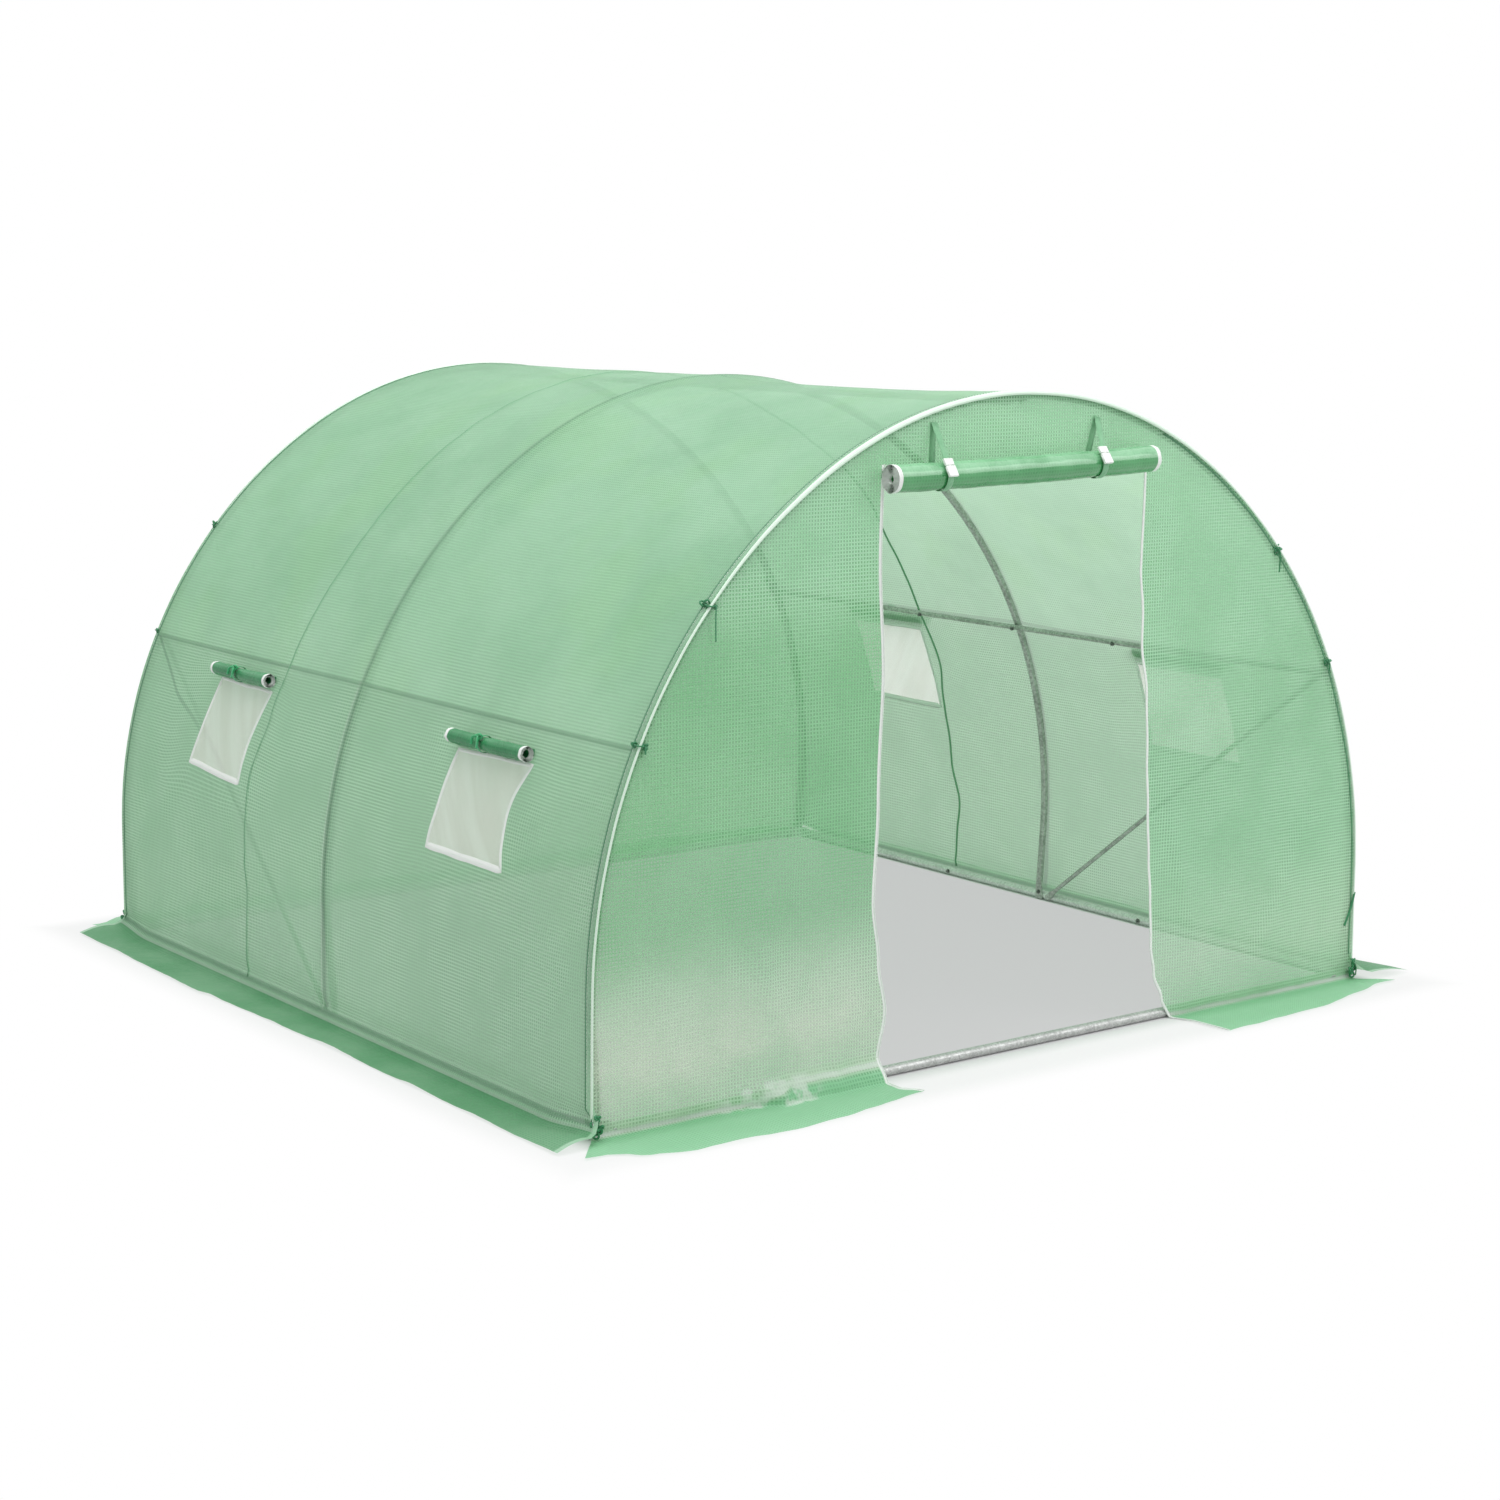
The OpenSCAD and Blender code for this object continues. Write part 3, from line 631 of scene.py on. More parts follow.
def panel_marks(f, base, thread, grid):
    """An end panel: painted light paling it low down, in patches, a painted highlight on the crease where it
    turns out over the ground and on the crinkles of its rumpled foot, a fuller green skirt. Returns its
    colour and how far it hides what is behind it."""
    across, height = f.split(f.flat())[:2]
    colour = woven(f, base, thread, grid, 0.9)
    patch = f.noise(f.place(), 3.0, 5.0, 0.65)
    door_end = f.ramp(f.split(f.place())[1], -1.0, 1.0, 1.0, 0.0)
    left = f.times(f.ramp(across, -0.4, 0.4, 1.0, 0.0), door_end)
    colour = f.blend(f.times(stripe(f, height, 0.9, 0.6), left, 0.34), colour, DEEP_PANEL)
    foot = f.minus(height, f.times(f.ramp(across, *RUMPLE_XS, 0.0, 0.042), left))
    # Painted light: the panel pales low down, in patches, most on the left door panel
    low = f.times(f.ramp(height, 0.05, 0.6, 0.95, 0.0), f.ramp(patch, 0.25, 0.6, 0.55, 1.0))
    low = f.times(low, f.ramp(left, 0.0, 1.0, 0.4, 1.0), f.ramp(foot, 0.03, 0.2, 0.5, 1.0))
    colour = f.blend(f.times(low, f.ramp(foot, -0.01, 0.01)), colour, PAINTED_LOW_LIGHT)
    skirt = f.ramp(foot, -0.012, 0.004, 1.0, 0.0)
    colour = f.blend(f.times(skirt, 0.6), colour, PANEL_SKIRT)
    # Painted highlight along the crease where the panel turns out over the ground, broken up in patches, and
    # on the crinkles of the rumpled foot
    highlight_breaks = f.ramp(f.noise(f.place(), 9.0), 0.35, 0.6, 0.6, 1.0)
    crease = f.times(stripe(f, foot, 0.011, 0.009), highlight_breaks)
    speckle = f.ramp(f.noise(f.place(), 26.0), 0.42, 0.6, 0.0, 0.85)
    crumple = f.times(stripe(f, height, 0.03, 0.05), stripe(f, across, -0.94, 0.2), speckle, left)
    hidden = f.most(skirt, f.ramp(foot, 0.03, 0.05, 0.9, 0.0))
    return f.blend(f.most(crease, crumple), colour, PAINTED_CREASE_HIGHLIGHT), hidden


def brace_shade_line(f, across, along):
    """Painted shade line along the braces of the left rear and the right front bay, fading as they leave the
    sheet.
    """
    below = f.minus(f.size(across), S_PURLIN)
    run = f.plus(f.size(along), f.times(below, END_Y / (S_WALL - S_PURLIN)))
    faded = f.times(stripe(f, run, BRACE_TOP_Y, BRACE_HALF), f.ramp(below, 0.02, 0.6, 0.62, 0.0))
    in_bay = f.math("LESS_THAN", f.times(across, along), 0.0)
    return f.times(faded, in_bay, f.math("GREATER_THAN", below, 0.0))


def barrel_marks(f, base, thread, grid):
    """The barrel: painted shade lines where the tubes lie behind it, painted shade below the purlins, a
    deeper green on the skirts, painted highlights beside the middle hoop and on the fold over the ground
    rail, paler double sheet over the end hoops. Returns its colour and how far it hides what is behind it."""
    across, along = f.split(f.flat())[:2]
    down = f.size(across)
    # Painted shade: the walls below the purlins are darker than the roof
    colour = f.blend(f.ramp(down, S_PURLIN - 0.01, S_PURLIN + 0.05, 0.0, 0.62), base, PAINTED_WALL_SHADE)
    colour = woven(f, colour, thread, grid, f.ramp(down, S_PURLIN - 0.3, S_PURLIN + 0.1, 0.35, 0.76))
    skirt = f.ramp(down, S_WALL + 0.012, S_WALL + 0.03)
    patch = f.ramp(f.noise(f.place(), 2.4, 4.0), 0.35, 0.62, 0.72, 1.0)
    colour = f.blend(f.times(skirt, patch), colour, WALL_SKIRT)
    wall = f.ramp(down, S_WALL - 0.02, S_WALL + 0.01, 1.0, 0.0)
    # Painted shade lines where the hoops, the purlins, the ridge purlin, the ground rail and the braces lie
    # behind the sheet
    deeper = f.ramp(down, S_PURLIN, S_SIDE, 0.4, 0.58)
    hoop = f.times(stripe(f, along, 0.0, HOOP_R + 0.002), deeper, wall)
    purlin = f.times(stripe(f, down, S_PURLIN, PURLIN_D * 0.48), 0.45)
    ridge = f.times(stripe(f, down, 0.0, PURLIN_D * 0.55), 0.3)
    rail = f.times(stripe(f, down, S_WALL + 0.002, 0.011), 0.75)
    painted_tube_shade = f.most(hoop, purlin, ridge, rail, brace_shade_line(f, across, along))
    colour = f.blend(painted_tube_shade, colour, TUBE_SHADE)
    # Painted highlights: a pale line beside the middle hoop on the walls, and one along the fold over the
    # ground rail
    low = f.ramp(down, S_PURLIN - 0.1, S_PURLIN + 0.1)
    edge = f.times(stripe(f, along, HOOP_R + 0.007, 0.005), low, 0.4, wall)
    hem = f.times(stripe(f, down, S_WALL + 0.024, 0.006), 0.35)
    colour = f.blend(f.most(edge, hem), colour, PAINTED_CREASE_HIGHLIGHT)
    sleeve = f.ramp(f.size(along), PANEL_Y - 0.022, PANEL_Y - 0.016, 0.0, 0.8)
    thick = f.most(skirt, sleeve, f.ramp(down, S_PURLIN, S_PURLIN + 0.1, 0.0, 0.3))
    return f.blend(sleeve, colour, PALE_SLEEVE), thick


def sheet_finish(name, film, thread, see_film, see_thread, grey, marks):
    """Translucent film over a square grid of threads: film and thread are its two greens, grey how far the
    light that comes through it loses its green."""
    f = Finish(name)
    grid = threads(f, THREAD_PITCH, THREAD_SHARE)
    cloud = f.noise(f.place(), 1.6, 5.0, 0.62)
    warm = f.noise(f.place(), 2.3, 4.0, 0.55)
    fleck = f.noise(f.place(), 60.0, 2.0)
    crumple = f.noise(f.place(), 6.0, 6.0, 0.6)
    deep, light = [0.88 * a for a in film], [0.74 * a + 0.26 * b for a, b in zip(film, thread)]
    base = f.blend(f.ramp(cloud, 0.34, 0.66), deep, light)
    base = f.blend(f.ramp(warm, 0.48, 0.66, 0.0, 0.35), base, (film[0] * 0.95, film[1] * 1.03, film[2] * 0.7))
    colour, hidden = marks(f, base, thread, grid)
    height = f.plus(f.times(grid, 0.7), f.times(fleck, 0.3))
    normal = f.bump(height, 0.0008, 0.6, Normal=f.bump(crumple, 0.025, 0.45))
    skin = f.skin(colour, f.ramp(fleck, 0.2, 0.8, 0.32, 0.5), normal, 0.35)
    glow = f.node("BsdfTranslucent", None, Color=f.blend(grey, colour, GREY_LIGHT), Normal=normal)
    body = f.mix(0.46, skin, glow.outputs[0])
    clear = f.ramp(grid, 0.0, 1.0, see_film, see_thread)
    see = f.times(clear, f.ramp(hidden, 0.0, 1.0, 1.0, 0.25))
    return f.done(f.mix(see, body, f.node("BsdfTransparent").outputs[0]))


def rolled_finish(name, film, thread, gloss, coat, top, highlight_share):
    """The same sheet in many layers: deep green, glossy, with a faint grid, and a painted highlight on the
    top of its outer turn, which lies at the length top along the sheet."""
    f = Finish(name)
    grid = threads(f, THREAD_PITCH, THREAD_SHARE)
    cloud = f.noise(f.place(), 9.0, 4.0, 0.6)
    streak = f.noise(f.flat(), 30.0, 3.0, 0.6)
    base = f.blend(f.ramp(cloud, 0.3, 0.7), film, [0.6 * a + 0.4 * b for a, b in zip(film, thread)])
    colour = f.blend(f.times(grid, 0.35), base, thread)
    # Painted highlight along the top of the outer turn
    upper = stripe(f, f.split(f.flat())[1], top, top * 0.22)
    top_highlight = f.times(upper, f.ramp(cloud, 0.3, 0.6, 0.5, 1.0), highlight_share)
    colour = f.blend(top_highlight, colour, PAINTED_ROLL_HIGHLIGHT)
    normal = f.bump(f.plus(f.times(grid, 0.4), streak), 0.0012, 0.25)
    return f.done(f.skin(colour, f.ramp(streak, 0.25, 0.75, 0.22, 0.38), normal, gloss, coat=coat))


def net_finish():
    """Open insect net: pale threads with clear holes."""
    f = Finish("window_net")
    grid = threads(f, 0.0024, 0.45)
    cloud = f.noise(f.place(), 5.0)
    along, across = f.split(f.flat())[:2]
    # Painted light and shade: slanting paler and darker streaks across the net
    slant = f.node("CombineXYZ", None, X=f.minus(along, across), Y=f.times(across, 0.15))
    streak = f.noise(slant.outputs[0], 11.0, 2.0)
    colour = f.blend(f.ramp(streak, 0.35, 0.65), (0.90, 0.90, 0.84), (0.99, 1.0, 0.95))
    colour = f.blend(f.ramp(cloud, 0.3, 0.7, 0.0, 0.3), colour, (0.84, 0.93, 0.84))
    skin = f.skin(colour, 0.6, f.bump(grid, 0.0003, 0.4), 0.3)
    glow = f.node("BsdfTranslucent", None, Color=colour)
    body = f.mix(0.5, skin, glow.outputs[0])
    return f.done(f.mix(f.ramp(grid, 0.0, 1.0, 0.36, 0.04), body, f.node("BsdfTransparent").outputs[0]))


def tape_finish(name, dark, light, rib, rough):
    """Woven tape with ribs across it."""
    f = Finish(name)
    along, across = f.split(f.flat())[:2]
    ribs = f.ramp(f.math("PINGPONG", along, rib), 0, rib)
    weave = f.plus(ribs, f.ramp(f.math("PINGPONG", across, rib * 0.7), 0, rib * 0.7))
    wear = f.noise(f.place(), 30.0)
    colour = f.blend(f.times(f.plus(weave, wear), 0.33), dark, light)
    return f.done(f.skin(colour, rough, f.bump(weave, 0.0004, 0.5), 0.4, sheen=0.2))


def plastic_finish(name, low, high, rough):
    """Moulded plastic with a faint grain."""
    f = Finish(name)
    grain = f.noise(f.place(), 900.0, 2.0)
    cloud = f.noise(f.place(), 18.0)
    colour = f.blend(f.ramp(cloud, 0.3, 0.7), low, high)
    return f.done(f.skin(colour, rough, f.bump(grain, 0.0001, 0.3)))


def steel_finish(name, dull_colour, bright_colour):
    """Galvanised steel: grey with a faint spangle, dull patches and scuffs."""
    f = Finish(name)
    spangle = f.node("TexVoronoi", None, Vector=f.place(), Scale=160.0).outputs["Color"]
    spangle = f.node("SeparateColor", None, Color=spangle).outputs[0]
    dull = f.noise(f.place(), 12.0, 5.0, 0.6)
    shade = f.plus(f.times(spangle, 0.35), f.times(dull, 0.65))
    colour = f.blend(f.ramp(shade, 0.25, 0.75), dull_colour, bright_colour)
    scuff = f.noise(f.place(), 220.0, 2.0)
    rough = f.ramp(shade, 0.2, 0.8, 0.48, 0.3)
    return f.done(f.skin(colour, rough, f.bump(scuff, 0.0002, 0.2), metallic=0.45))


COVER = sheet_finish("cover_film", (0.29, 0.66, 0.38), (0.62, 0.88, 0.67), 0.22, 0.08, 0.35, barrel_marks)
PANEL = sheet_finish("panel_film", (0.13, 0.55, 0.20), (0.60, 0.92, 0.67), 0.42, 0.08, 0.2, panel_marks)
ROLLED_DOOR = rolled_finish(
    "rolled_door_film", (0.025, 0.25, 0.065), (0.11, 0.46, 0.17),
    gloss=0.5, coat=0.8, top=0.196, highlight_share=0.45,
)
ROLLED_FLAP = rolled_finish(
    "rolled_flap_film", (0.010, 0.16, 0.05), (0.05, 0.34, 0.13),
    gloss=0.2, coat=0.1, top=0.114, highlight_share=0.08,
)
NET = net_finish()
WHITE_TAPE = tape_finish("white_zip_tape", (0.88, 0.94, 0.89), (0.98, 1.0, 0.98), 0.0012, 0.5)
PALE_PIPING = tape_finish("pale_piping", (0.66, 0.88, 0.70), (0.88, 1.0, 0.90), 0.002, 0.4)
STRAP_TAPE = tape_finish("green_strap_tape", (0.10, 0.36, 0.16), (0.34, 0.66, 0.40), 0.0012, 0.45)
TIE_TAPE = tape_finish("bright_tie_tape", (0.02, 0.30, 0.10), (0.08, 0.55, 0.24), 0.0012, 0.45)
DARK_TIE = tape_finish("dark_tie_tape", (0.014, 0.14, 0.05), (0.06, 0.34, 0.15), 0.0016, 0.5)
SEAM_TAPE = tape_finish("seam_tape", (0.03, 0.17, 0.07), (0.12, 0.36, 0.19), 0.0015, 0.55)
SOFT_SEAM_TAPE = tape_finish("soft_seam_tape", (0.10, 0.32, 0.16), (0.24, 0.50, 0.30), 0.0015, 0.55)
WHITE_PLASTIC = plastic_finish("white_buckle_plastic", (0.84, 0.88, 0.84), (0.93, 0.96, 0.93), 0.3)
WHITE_THREAD = plastic_finish("pale_sewing_thread", (0.66, 0.84, 0.68), (0.86, 0.95, 0.87), 0.6)
STEEL = steel_finish("galvanised_steel", (0.32, 0.35, 0.32), (0.58, 0.62, 0.58))
# Painted light: lighter copies of the same galvanised steel for the sill and the base rails
LIT_SILL_STEEL = steel_finish("dull_galvanised_steel", (0.42, 0.43, 0.42), (0.62, 0.63, 0.62))
LIT_RAIL_STEEL = steel_finish("bright_galvanised_steel", (0.66, 0.68, 0.67), (0.88, 0.90, 0.89))
BOLT_STEEL = steel_finish("dark_bolt_steel", (0.10, 0.12, 0.11), (0.30, 0.32, 0.30))


# Small things that repeat: bolts on the frame, stitches and zip teeth along the seams


class Growth(Nodes):
    """Geometry Nodes tree with named sizes that sets a small shape on the points it is given."""

    prefix = "GeometryNode"

    def __init__(self, name, sizes):
        super().__init__(bpy.data.node_groups.new(name, "GeometryNodeTree"))
        face = self.tree.interface
        face.new_socket("Geometry", in_out="INPUT", socket_type="NodeSocketGeometry")
        for label, value in sizes.items():
            face.new_socket(label, in_out="INPUT", socket_type="NodeSocketFloat").default_value = value
        face.new_socket("Geometry", in_out="OUTPUT", socket_type="NodeSocketGeometry")
        self.given = self.tree.nodes.new("NodeGroupInput").outputs
        self.result = self.tree.nodes.new("NodeGroupOutput").inputs[0]

    def post(self, sides, radius, depth, lift):
        """Upright prism or cylinder whose lower end is lifted off its point."""
        post = self.node("MeshCylinder", None, Vertices=sides, Radius=radius, Depth=depth).outputs[0]
        middle = self.plus(self.times(depth, 0.5), lift)
        place = self.node("*ShaderNodeCombineXYZ", None, Z=middle).outputs[0]
        return self.node("Transform", None, Geometry=post, Translation=place).outputs[0]

    def facing(self, direction):
        """Rotation that turns +Z to a direction."""
        return self.node("*FunctionNodeAlignRotationToVector", {"axis": "Z"}, Vector=direction).outputs[0]

    def done(self, points, shape, rotation, material):
        """One shape on each point, made real and given its material."""
        many = self.node("InstanceOnPoints", None, Points=points, Instance=shape, Rotation=rotation)
        real = self.node("RealizeInstances", None, Geometry=many.outputs[0])
        dressed = self.node("SetMaterial", None, Geometry=real.outputs[0], Material=material)
        self.tree.links.new(dressed.outputs[0], self.result)


def bolt_growth():
    """Hexagon nut on a washer with the bolt's round end, standing along each point's facing direction."""
    g = Growth("bolts", {"Nut width": 0.011, "Nut height": 0.005, "Washer width": 0.017})
    washer_t = 0.0014
    washer = g.post(18, g.times(g.given["Washer width"], 0.5), washer_t, 0.0)
    nut = g.post(6, g.times(g.given["Nut width"], 0.577), g.given["Nut height"], washer_t)
    end = g.post(12, g.times(g.given["Nut width"], 0.27), g.times(g.given["Nut height"], 1.7), washer_t)
    both = g.node("JoinGeometry")
    for part in (end, nut, washer):
        g.tree.links.new(part, both.inputs[0])
    facing = g.node("InputNamedAttribute", {"data_type": "FLOAT_VECTOR"}, Name="facing").outputs[0]
    g.done(g.given["Geometry"], both.outputs[0], g.facing(facing), BOLT_STEEL)
    return g


def row_growth(name, material):
    """Short lengths of thread or zip coil in a row along each line."""
    g = Growth(name, {"Pitch": 0.008, "Length": 0.005, "Thread": 0.0009})
    curve = g.node("MeshToCurve", None, Mesh=g.given["Geometry"]).outputs[0]
    row = g.node("ResampleCurve", {"mode": "LENGTH"}, Curve=curve, Length=g.given["Pitch"]).outputs[0]
    bit = g.node("MeshCylinder", None, Vertices=6, Radius=g.given["Thread"], Depth=g.given["Length"])
    g.done(row, bit.outputs[0], g.facing(g.node("InputTangent").outputs[0]), material)
    return g


def grown(name, growth, sizes, paths=(), stands=()):
    """Plain mesh made by a growth: along paths, or on stands of (place, facing)."""
    points, edges = [], []
    for path in paths:
        edges += [(len(points) + i, len(points) + i + 1) for i in range(len(path) - 1)]
        points += [tuple(p) for p in path]
    points += [tuple(place) for place, facing in stands]
    mesh = bpy.data.meshes.new(name)
    mesh.from_pydata(points, edges, [])
    if stands:
        layer = mesh.attributes.new("facing", "FLOAT_VECTOR", "POINT")
        layer.data.foreach_set("vector", [c for place, facing in stands for c in facing])
    piece = linked(name, mesh)
    modifier = piece.modifiers.new("growth", "NODES")
    modifier.node_group = growth.tree
    for item in growth.tree.interface.items_tree:
        if item.name in sizes:
            modifier[item.identifier] = sizes[item.name]
    plain = plain_mesh(piece)
    piece.modifiers.remove(modifier)
    piece.data = plain
    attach(piece, BODY)
    return piece


# Cover sheets

HOOP_LINES = [hoop + d for hoop in HOOP_YS for d in (-0.05, -0.025, -0.012, 0.0, 0.012, 0.025, 0.05)]
END_TURN = (0.0, 0.3, 0.55, 0.8, 1.0)


def end_row(s, end, turn):
    """Point of the cover where it turns over an end hoop: turn 0 on top of the tube, 1 on its outer side."""
    out = cover_line(s)[1]
    wall = 1 - smooth(S_WALL - 0.03, S_WALL + 0.03, abs(s))
    a = turn * math.pi / 2
    base = barrel(s, END_Y * end) - out * (COVER_OFF * (1 - math.cos(a)) * wall)
    base.y += end * COVER_OFF * math.sin(a)
    return base


def barrel_sheet(name, y0, y1, replaced):
    """One width of the cover in one piece, from the edge of the left skirt over the roof to the right one."""
    tops, bottoms = window_s(WINDOW_TOP, 1), window_s(WINDOW_BOTTOM, 1)
    s_marks = [side * s for side in SIDES for s in (tops, bottoms, S_PURLIN, S_WALL, S_FOLD, S_CROWN)]
    ss = lines(-S_EDGE, S_EDGE, 0.022, s_marks + [0.0])
    windows = [y for y in WINDOW_YS if y0 < y < y1]
    y_marks = HOOP_LINES + [y + d * WINDOW_W / 2 for y in windows for d in SIDES]
    ys = lines(max(y0, -END_Y), min(y1, END_Y), 0.026, y_marks)
    turn_run = COVER_OFF * math.pi / 2
    shape = Shape()
    rows = []
    for s in ss:
        row = [(barrel(*pulled(s, y)), y) for y in ys]
        if y0 < -END_Y:
            row = [(end_row(s, -1, t), -END_Y - turn_run * t) for t in END_TURN[:0:-1]] + row
        if y1 > END_Y:
            row += [(end_row(s, 1, t), END_Y + turn_run * t) for t in END_TURN[1:]]
        rows.append([shape.point(p, (s, v)) for p, v in row])
    widths = [shape.flats[k][1] for k in rows[0]]

    def in_window(i, j):
        s, v = (ss[i] + ss[i + 1]) / 2, (widths[j] + widths[j + 1]) / 2
        return tops < abs(s) < bottoms and any(abs(v - y) < WINDOW_W / 2 for y in windows)

    shape.grid(rows, skip=in_window, turn=True)
    piece = shape.piece(name, [COVER], "cover_sheet", replaced)


barrel_sheet("front_cover", -PANEL_Y, SEAM_Y, ["left_front_wall", "right_front_wall", "front_roof"])
barrel_sheet("rear_cover", SEAM_Y, PANEL_Y, ["left_rear_wall", "right_rear_wall", "rear_roof"])


# Door end and rear end

# The two door edges, as (height or minus the reach on the ground, place across)
LEFT_DOOR_EDGE = [
    (-0.24, -0.50), (-0.12, -0.538), (0.003, -0.530), (0.054, -0.529), (0.205, -0.500), (0.356, -0.526),
    (0.537, -0.551), (0.828, -0.534), (1.16, -0.522), (1.511, -0.538), (1.811, -0.53),
]
RIGHT_DOOR_EDGE = [
    (-0.24, 0.70), (-0.2, 0.70), (-0.1, 0.695), (-0.03, 0.686), (0.0, 0.672), (0.069, 0.638), (0.155, 0.60),
    (0.246, 0.583), (0.408, 0.577), (0.529, 0.567), (0.681, 0.557), (0.853, 0.544), (1.056, 0.532),
    (1.217, 0.509), (1.308, 0.511), (1.449, 0.497), (1.8, 0.50),
]
# Reach of the end skirts, as (place across, reach)
LEFT_SKIRT = [
    (-1.56, 0.13), (-1.53, 0.155), (-1.48, 0.20), (-1.34, 0.247), (-1.15, 0.255), (-0.86, 0.243),
    (-0.5, 0.175),
]
RIGHT_SKIRT = [
    (0.55, 0.16), (0.67, 0.2), (0.70, 0.235), (0.85, 0.233), (1.16, 0.202), (1.4, 0.15), (1.55, 0.11),
]
REAR_SKIRT = [
    (-1.56, 0.14), (-1.45, 0.21), (-0.9, 0.235), (0.0, 0.22), (0.8, 0.24), (1.45, 0.21), (1.56, 0.14),
]
# Folds of the door panels that run slanting down, as (place, height) of both ends, half width and depth
PANEL_FOLDS = [
    ((-0.72, 1.10), (-0.98, 0.32), 0.035, 0.010), ((-0.66, 0.62), (-0.86, 0.06), 0.025, -0.009),
    ((-1.02, 0.55), (-0.78, 0.05), 0.030, 0.008), ((-1.36, 0.40), (-1.18, 0.05), 0.030, 0.007),
    ((-0.58, 0.30), (-0.70, 0.03), 0.020, 0.008), ((0.64, 0.70), (0.82, 0.08), 0.030, 0.008),
    ((1.30, 0.60), (1.02, 0.06), 0.035, 0.008), ((0.60, 1.30), (0.92, 0.72), 0.040, -0.007),
    ((1.42, 0.34), (1.36, 0.05), 0.020, 0.007),
]
PANEL_FOLD_R = 0.014
PANEL_FOLD = PANEL_FOLD_R * math.pi / 2
# How far the outer ends of the end skirts spread beyond the hoop
SKIRT_SPREAD = {-1: 0.105, 1: 0.09}
REAR_SPREAD = 0.06


def rumple(x, z):
    """Crumpled foot of the left door panel, which turns out over the ground higher up beside the doorway."""
    lifted = 0.045 * smooth(0.075, 0.005, z) * smooth(*RUMPLE_XS, x) * smooth(-0.3, -0.5, x)
    crumple = 0.006 + 0.03 * abs(wander(x * 14.0, z * 12.0, 4.4))
    return lifted + crumple * bell(z - 0.035, 0.03) * bell(x + 0.93, 0.12)


def panel_slack(x, z, end):
    """Outward bulge of an end panel: held at the arch, looser towards the door and the ground."""
    rim = smooth(0.0, 0.25, arch_x(z) - abs(x)) if z < ARCH_TOP else 0.0
    broad = 0.006 * wander(x * 2.1, z * 2.4, 3.3 + end) + 0.003 * wander(x * 6.0, z * 4.0, 5.5 + end)
    creases = 0.007 * smooth(0.6, 0.05, z) * wander(x * 9.0, z * 2.5, 7.1 + end)
    folds = fold_depth(PANEL_FOLDS, x, z) if end < 0 else 0.0
    slack = rim * (broad + creases + folds)
    slack = max(slack, 0.0) + min(slack, 0.0) * smooth(0.035, 0.11, z)
    return slack + rumple(x, z) if end < 0 else slack


def panel_point(x, d, end, lift=0.0):
    """Point of an end panel, raised by lift; d is its height, or minus its skirt's reach on the ground."""
    if d >= PANEL_FOLD_R:
        return Vector((x, end * (PANEL_Y + panel_slack(x, d, end) + lift), d))
    run = PANEL_FOLD_R - d
    a = min(run / PANEL_FOLD_R, math.pi / 2)
    flat = max(0.0, run - PANEL_FOLD)
    y = PANEL_Y + panel_slack(x, PANEL_FOLD_R, end) * (1 - a / math.pi * 2)
    if end < 0:
        y += rumple(x, PANEL_FOLD_R) * a / math.pi * 2 * max(0.0, 1 - flat / 0.15)
    y += PANEL_FOLD_R * (1 - math.cos(a)) + flat + lift * math.cos(a)
    wave = 0.5 + 0.5 * wander(x * 4.5, end * 2.0, 9.2)
    fine = 0.5 + 0.5 * wander(x * 15.0, flat * 12.0, 2.8)
    wave = smooth(0.0, 0.2, flat) * (0.014 * wave * wave) + smooth(0.0, 0.06, flat) * 0.006 * fine
    z = PANEL_FOLD_R * (1 - math.sin(a)) + GROUND_Z + wave + lift * math.sin(a)
    return Vector((x, end * y, z))


def skirt_rows(top, step):
    """Heights of the rows of an end panel, from the edge of its skirt up to top."""
    on_ground = [-END_SKIRT + 0.02 * i for i in range(12)]
    foot = (0.025, 0.036, 0.047, 0.058, 0.075)
    return on_ground + [0.0, PANEL_FOLD_R * 0.35, PANEL_FOLD_R * 0.7] + lines(PANEL_FOLD_R, top, step, foot)


def skirt_reach(d, x, skirt):
    """Row height d with its ground part fitted to the reach of the skirt at x."""
    return d if d >= 0 else d / END_SKIRT * through(skirt, x)


def panel_area(edge, top):
    """Area of an end panel above the ground, from edge(z) out to the arch."""
    return sum((arch_x(0.01 + 0.02 * i) - edge(0.01 + 0.02 * i)) * 0.02 for i in range(int(top / 0.02)))


def end_panel(name, edge, skirt, side, replaced):
    """Door-end panel beside the doorway with its skirt, cut to the arch."""
    top = CROWN_Z + math.sqrt(ROOF_R**2 - through(edge, DOOR_TOP) ** 2) - COVER_OFF
    columns = 48
    shape = Shape()
    rows = []
    for d in skirt_rows(top, 0.021):
        inner = through(edge, d)
        outer = side * (arch_x(max(d, PANEL_FOLD_R)) - 0.001 + SKIRT_SPREAD[side] * max(0.0, -d) / END_SKIRT)
        xs = [inner + (outer - inner) * k / columns for k in range(columns + 1)]
        rows.append([shape.point(panel_point(x, skirt_reach(d, x, skirt), -1), (x, d)) for x in xs])
    shape.grid(rows, turn=side < 0)
    piece = shape.piece(name, [PANEL], "cover_sheet", replaced)
    wide, tall = arch_x(0.4) - abs(through(edge, 0.4)), top + END_SKIRT
    area = panel_area(lambda z: abs(through(edge, z)), top) + wide * 0.2


end_panel("left_door_panel", LEFT_DOOR_EDGE, LEFT_SKIRT, -1, ["front_left_panel"])
end_panel("right_door_panel", RIGHT_DOOR_EDGE, RIGHT_SKIRT, 1, ["front_right_panel"])


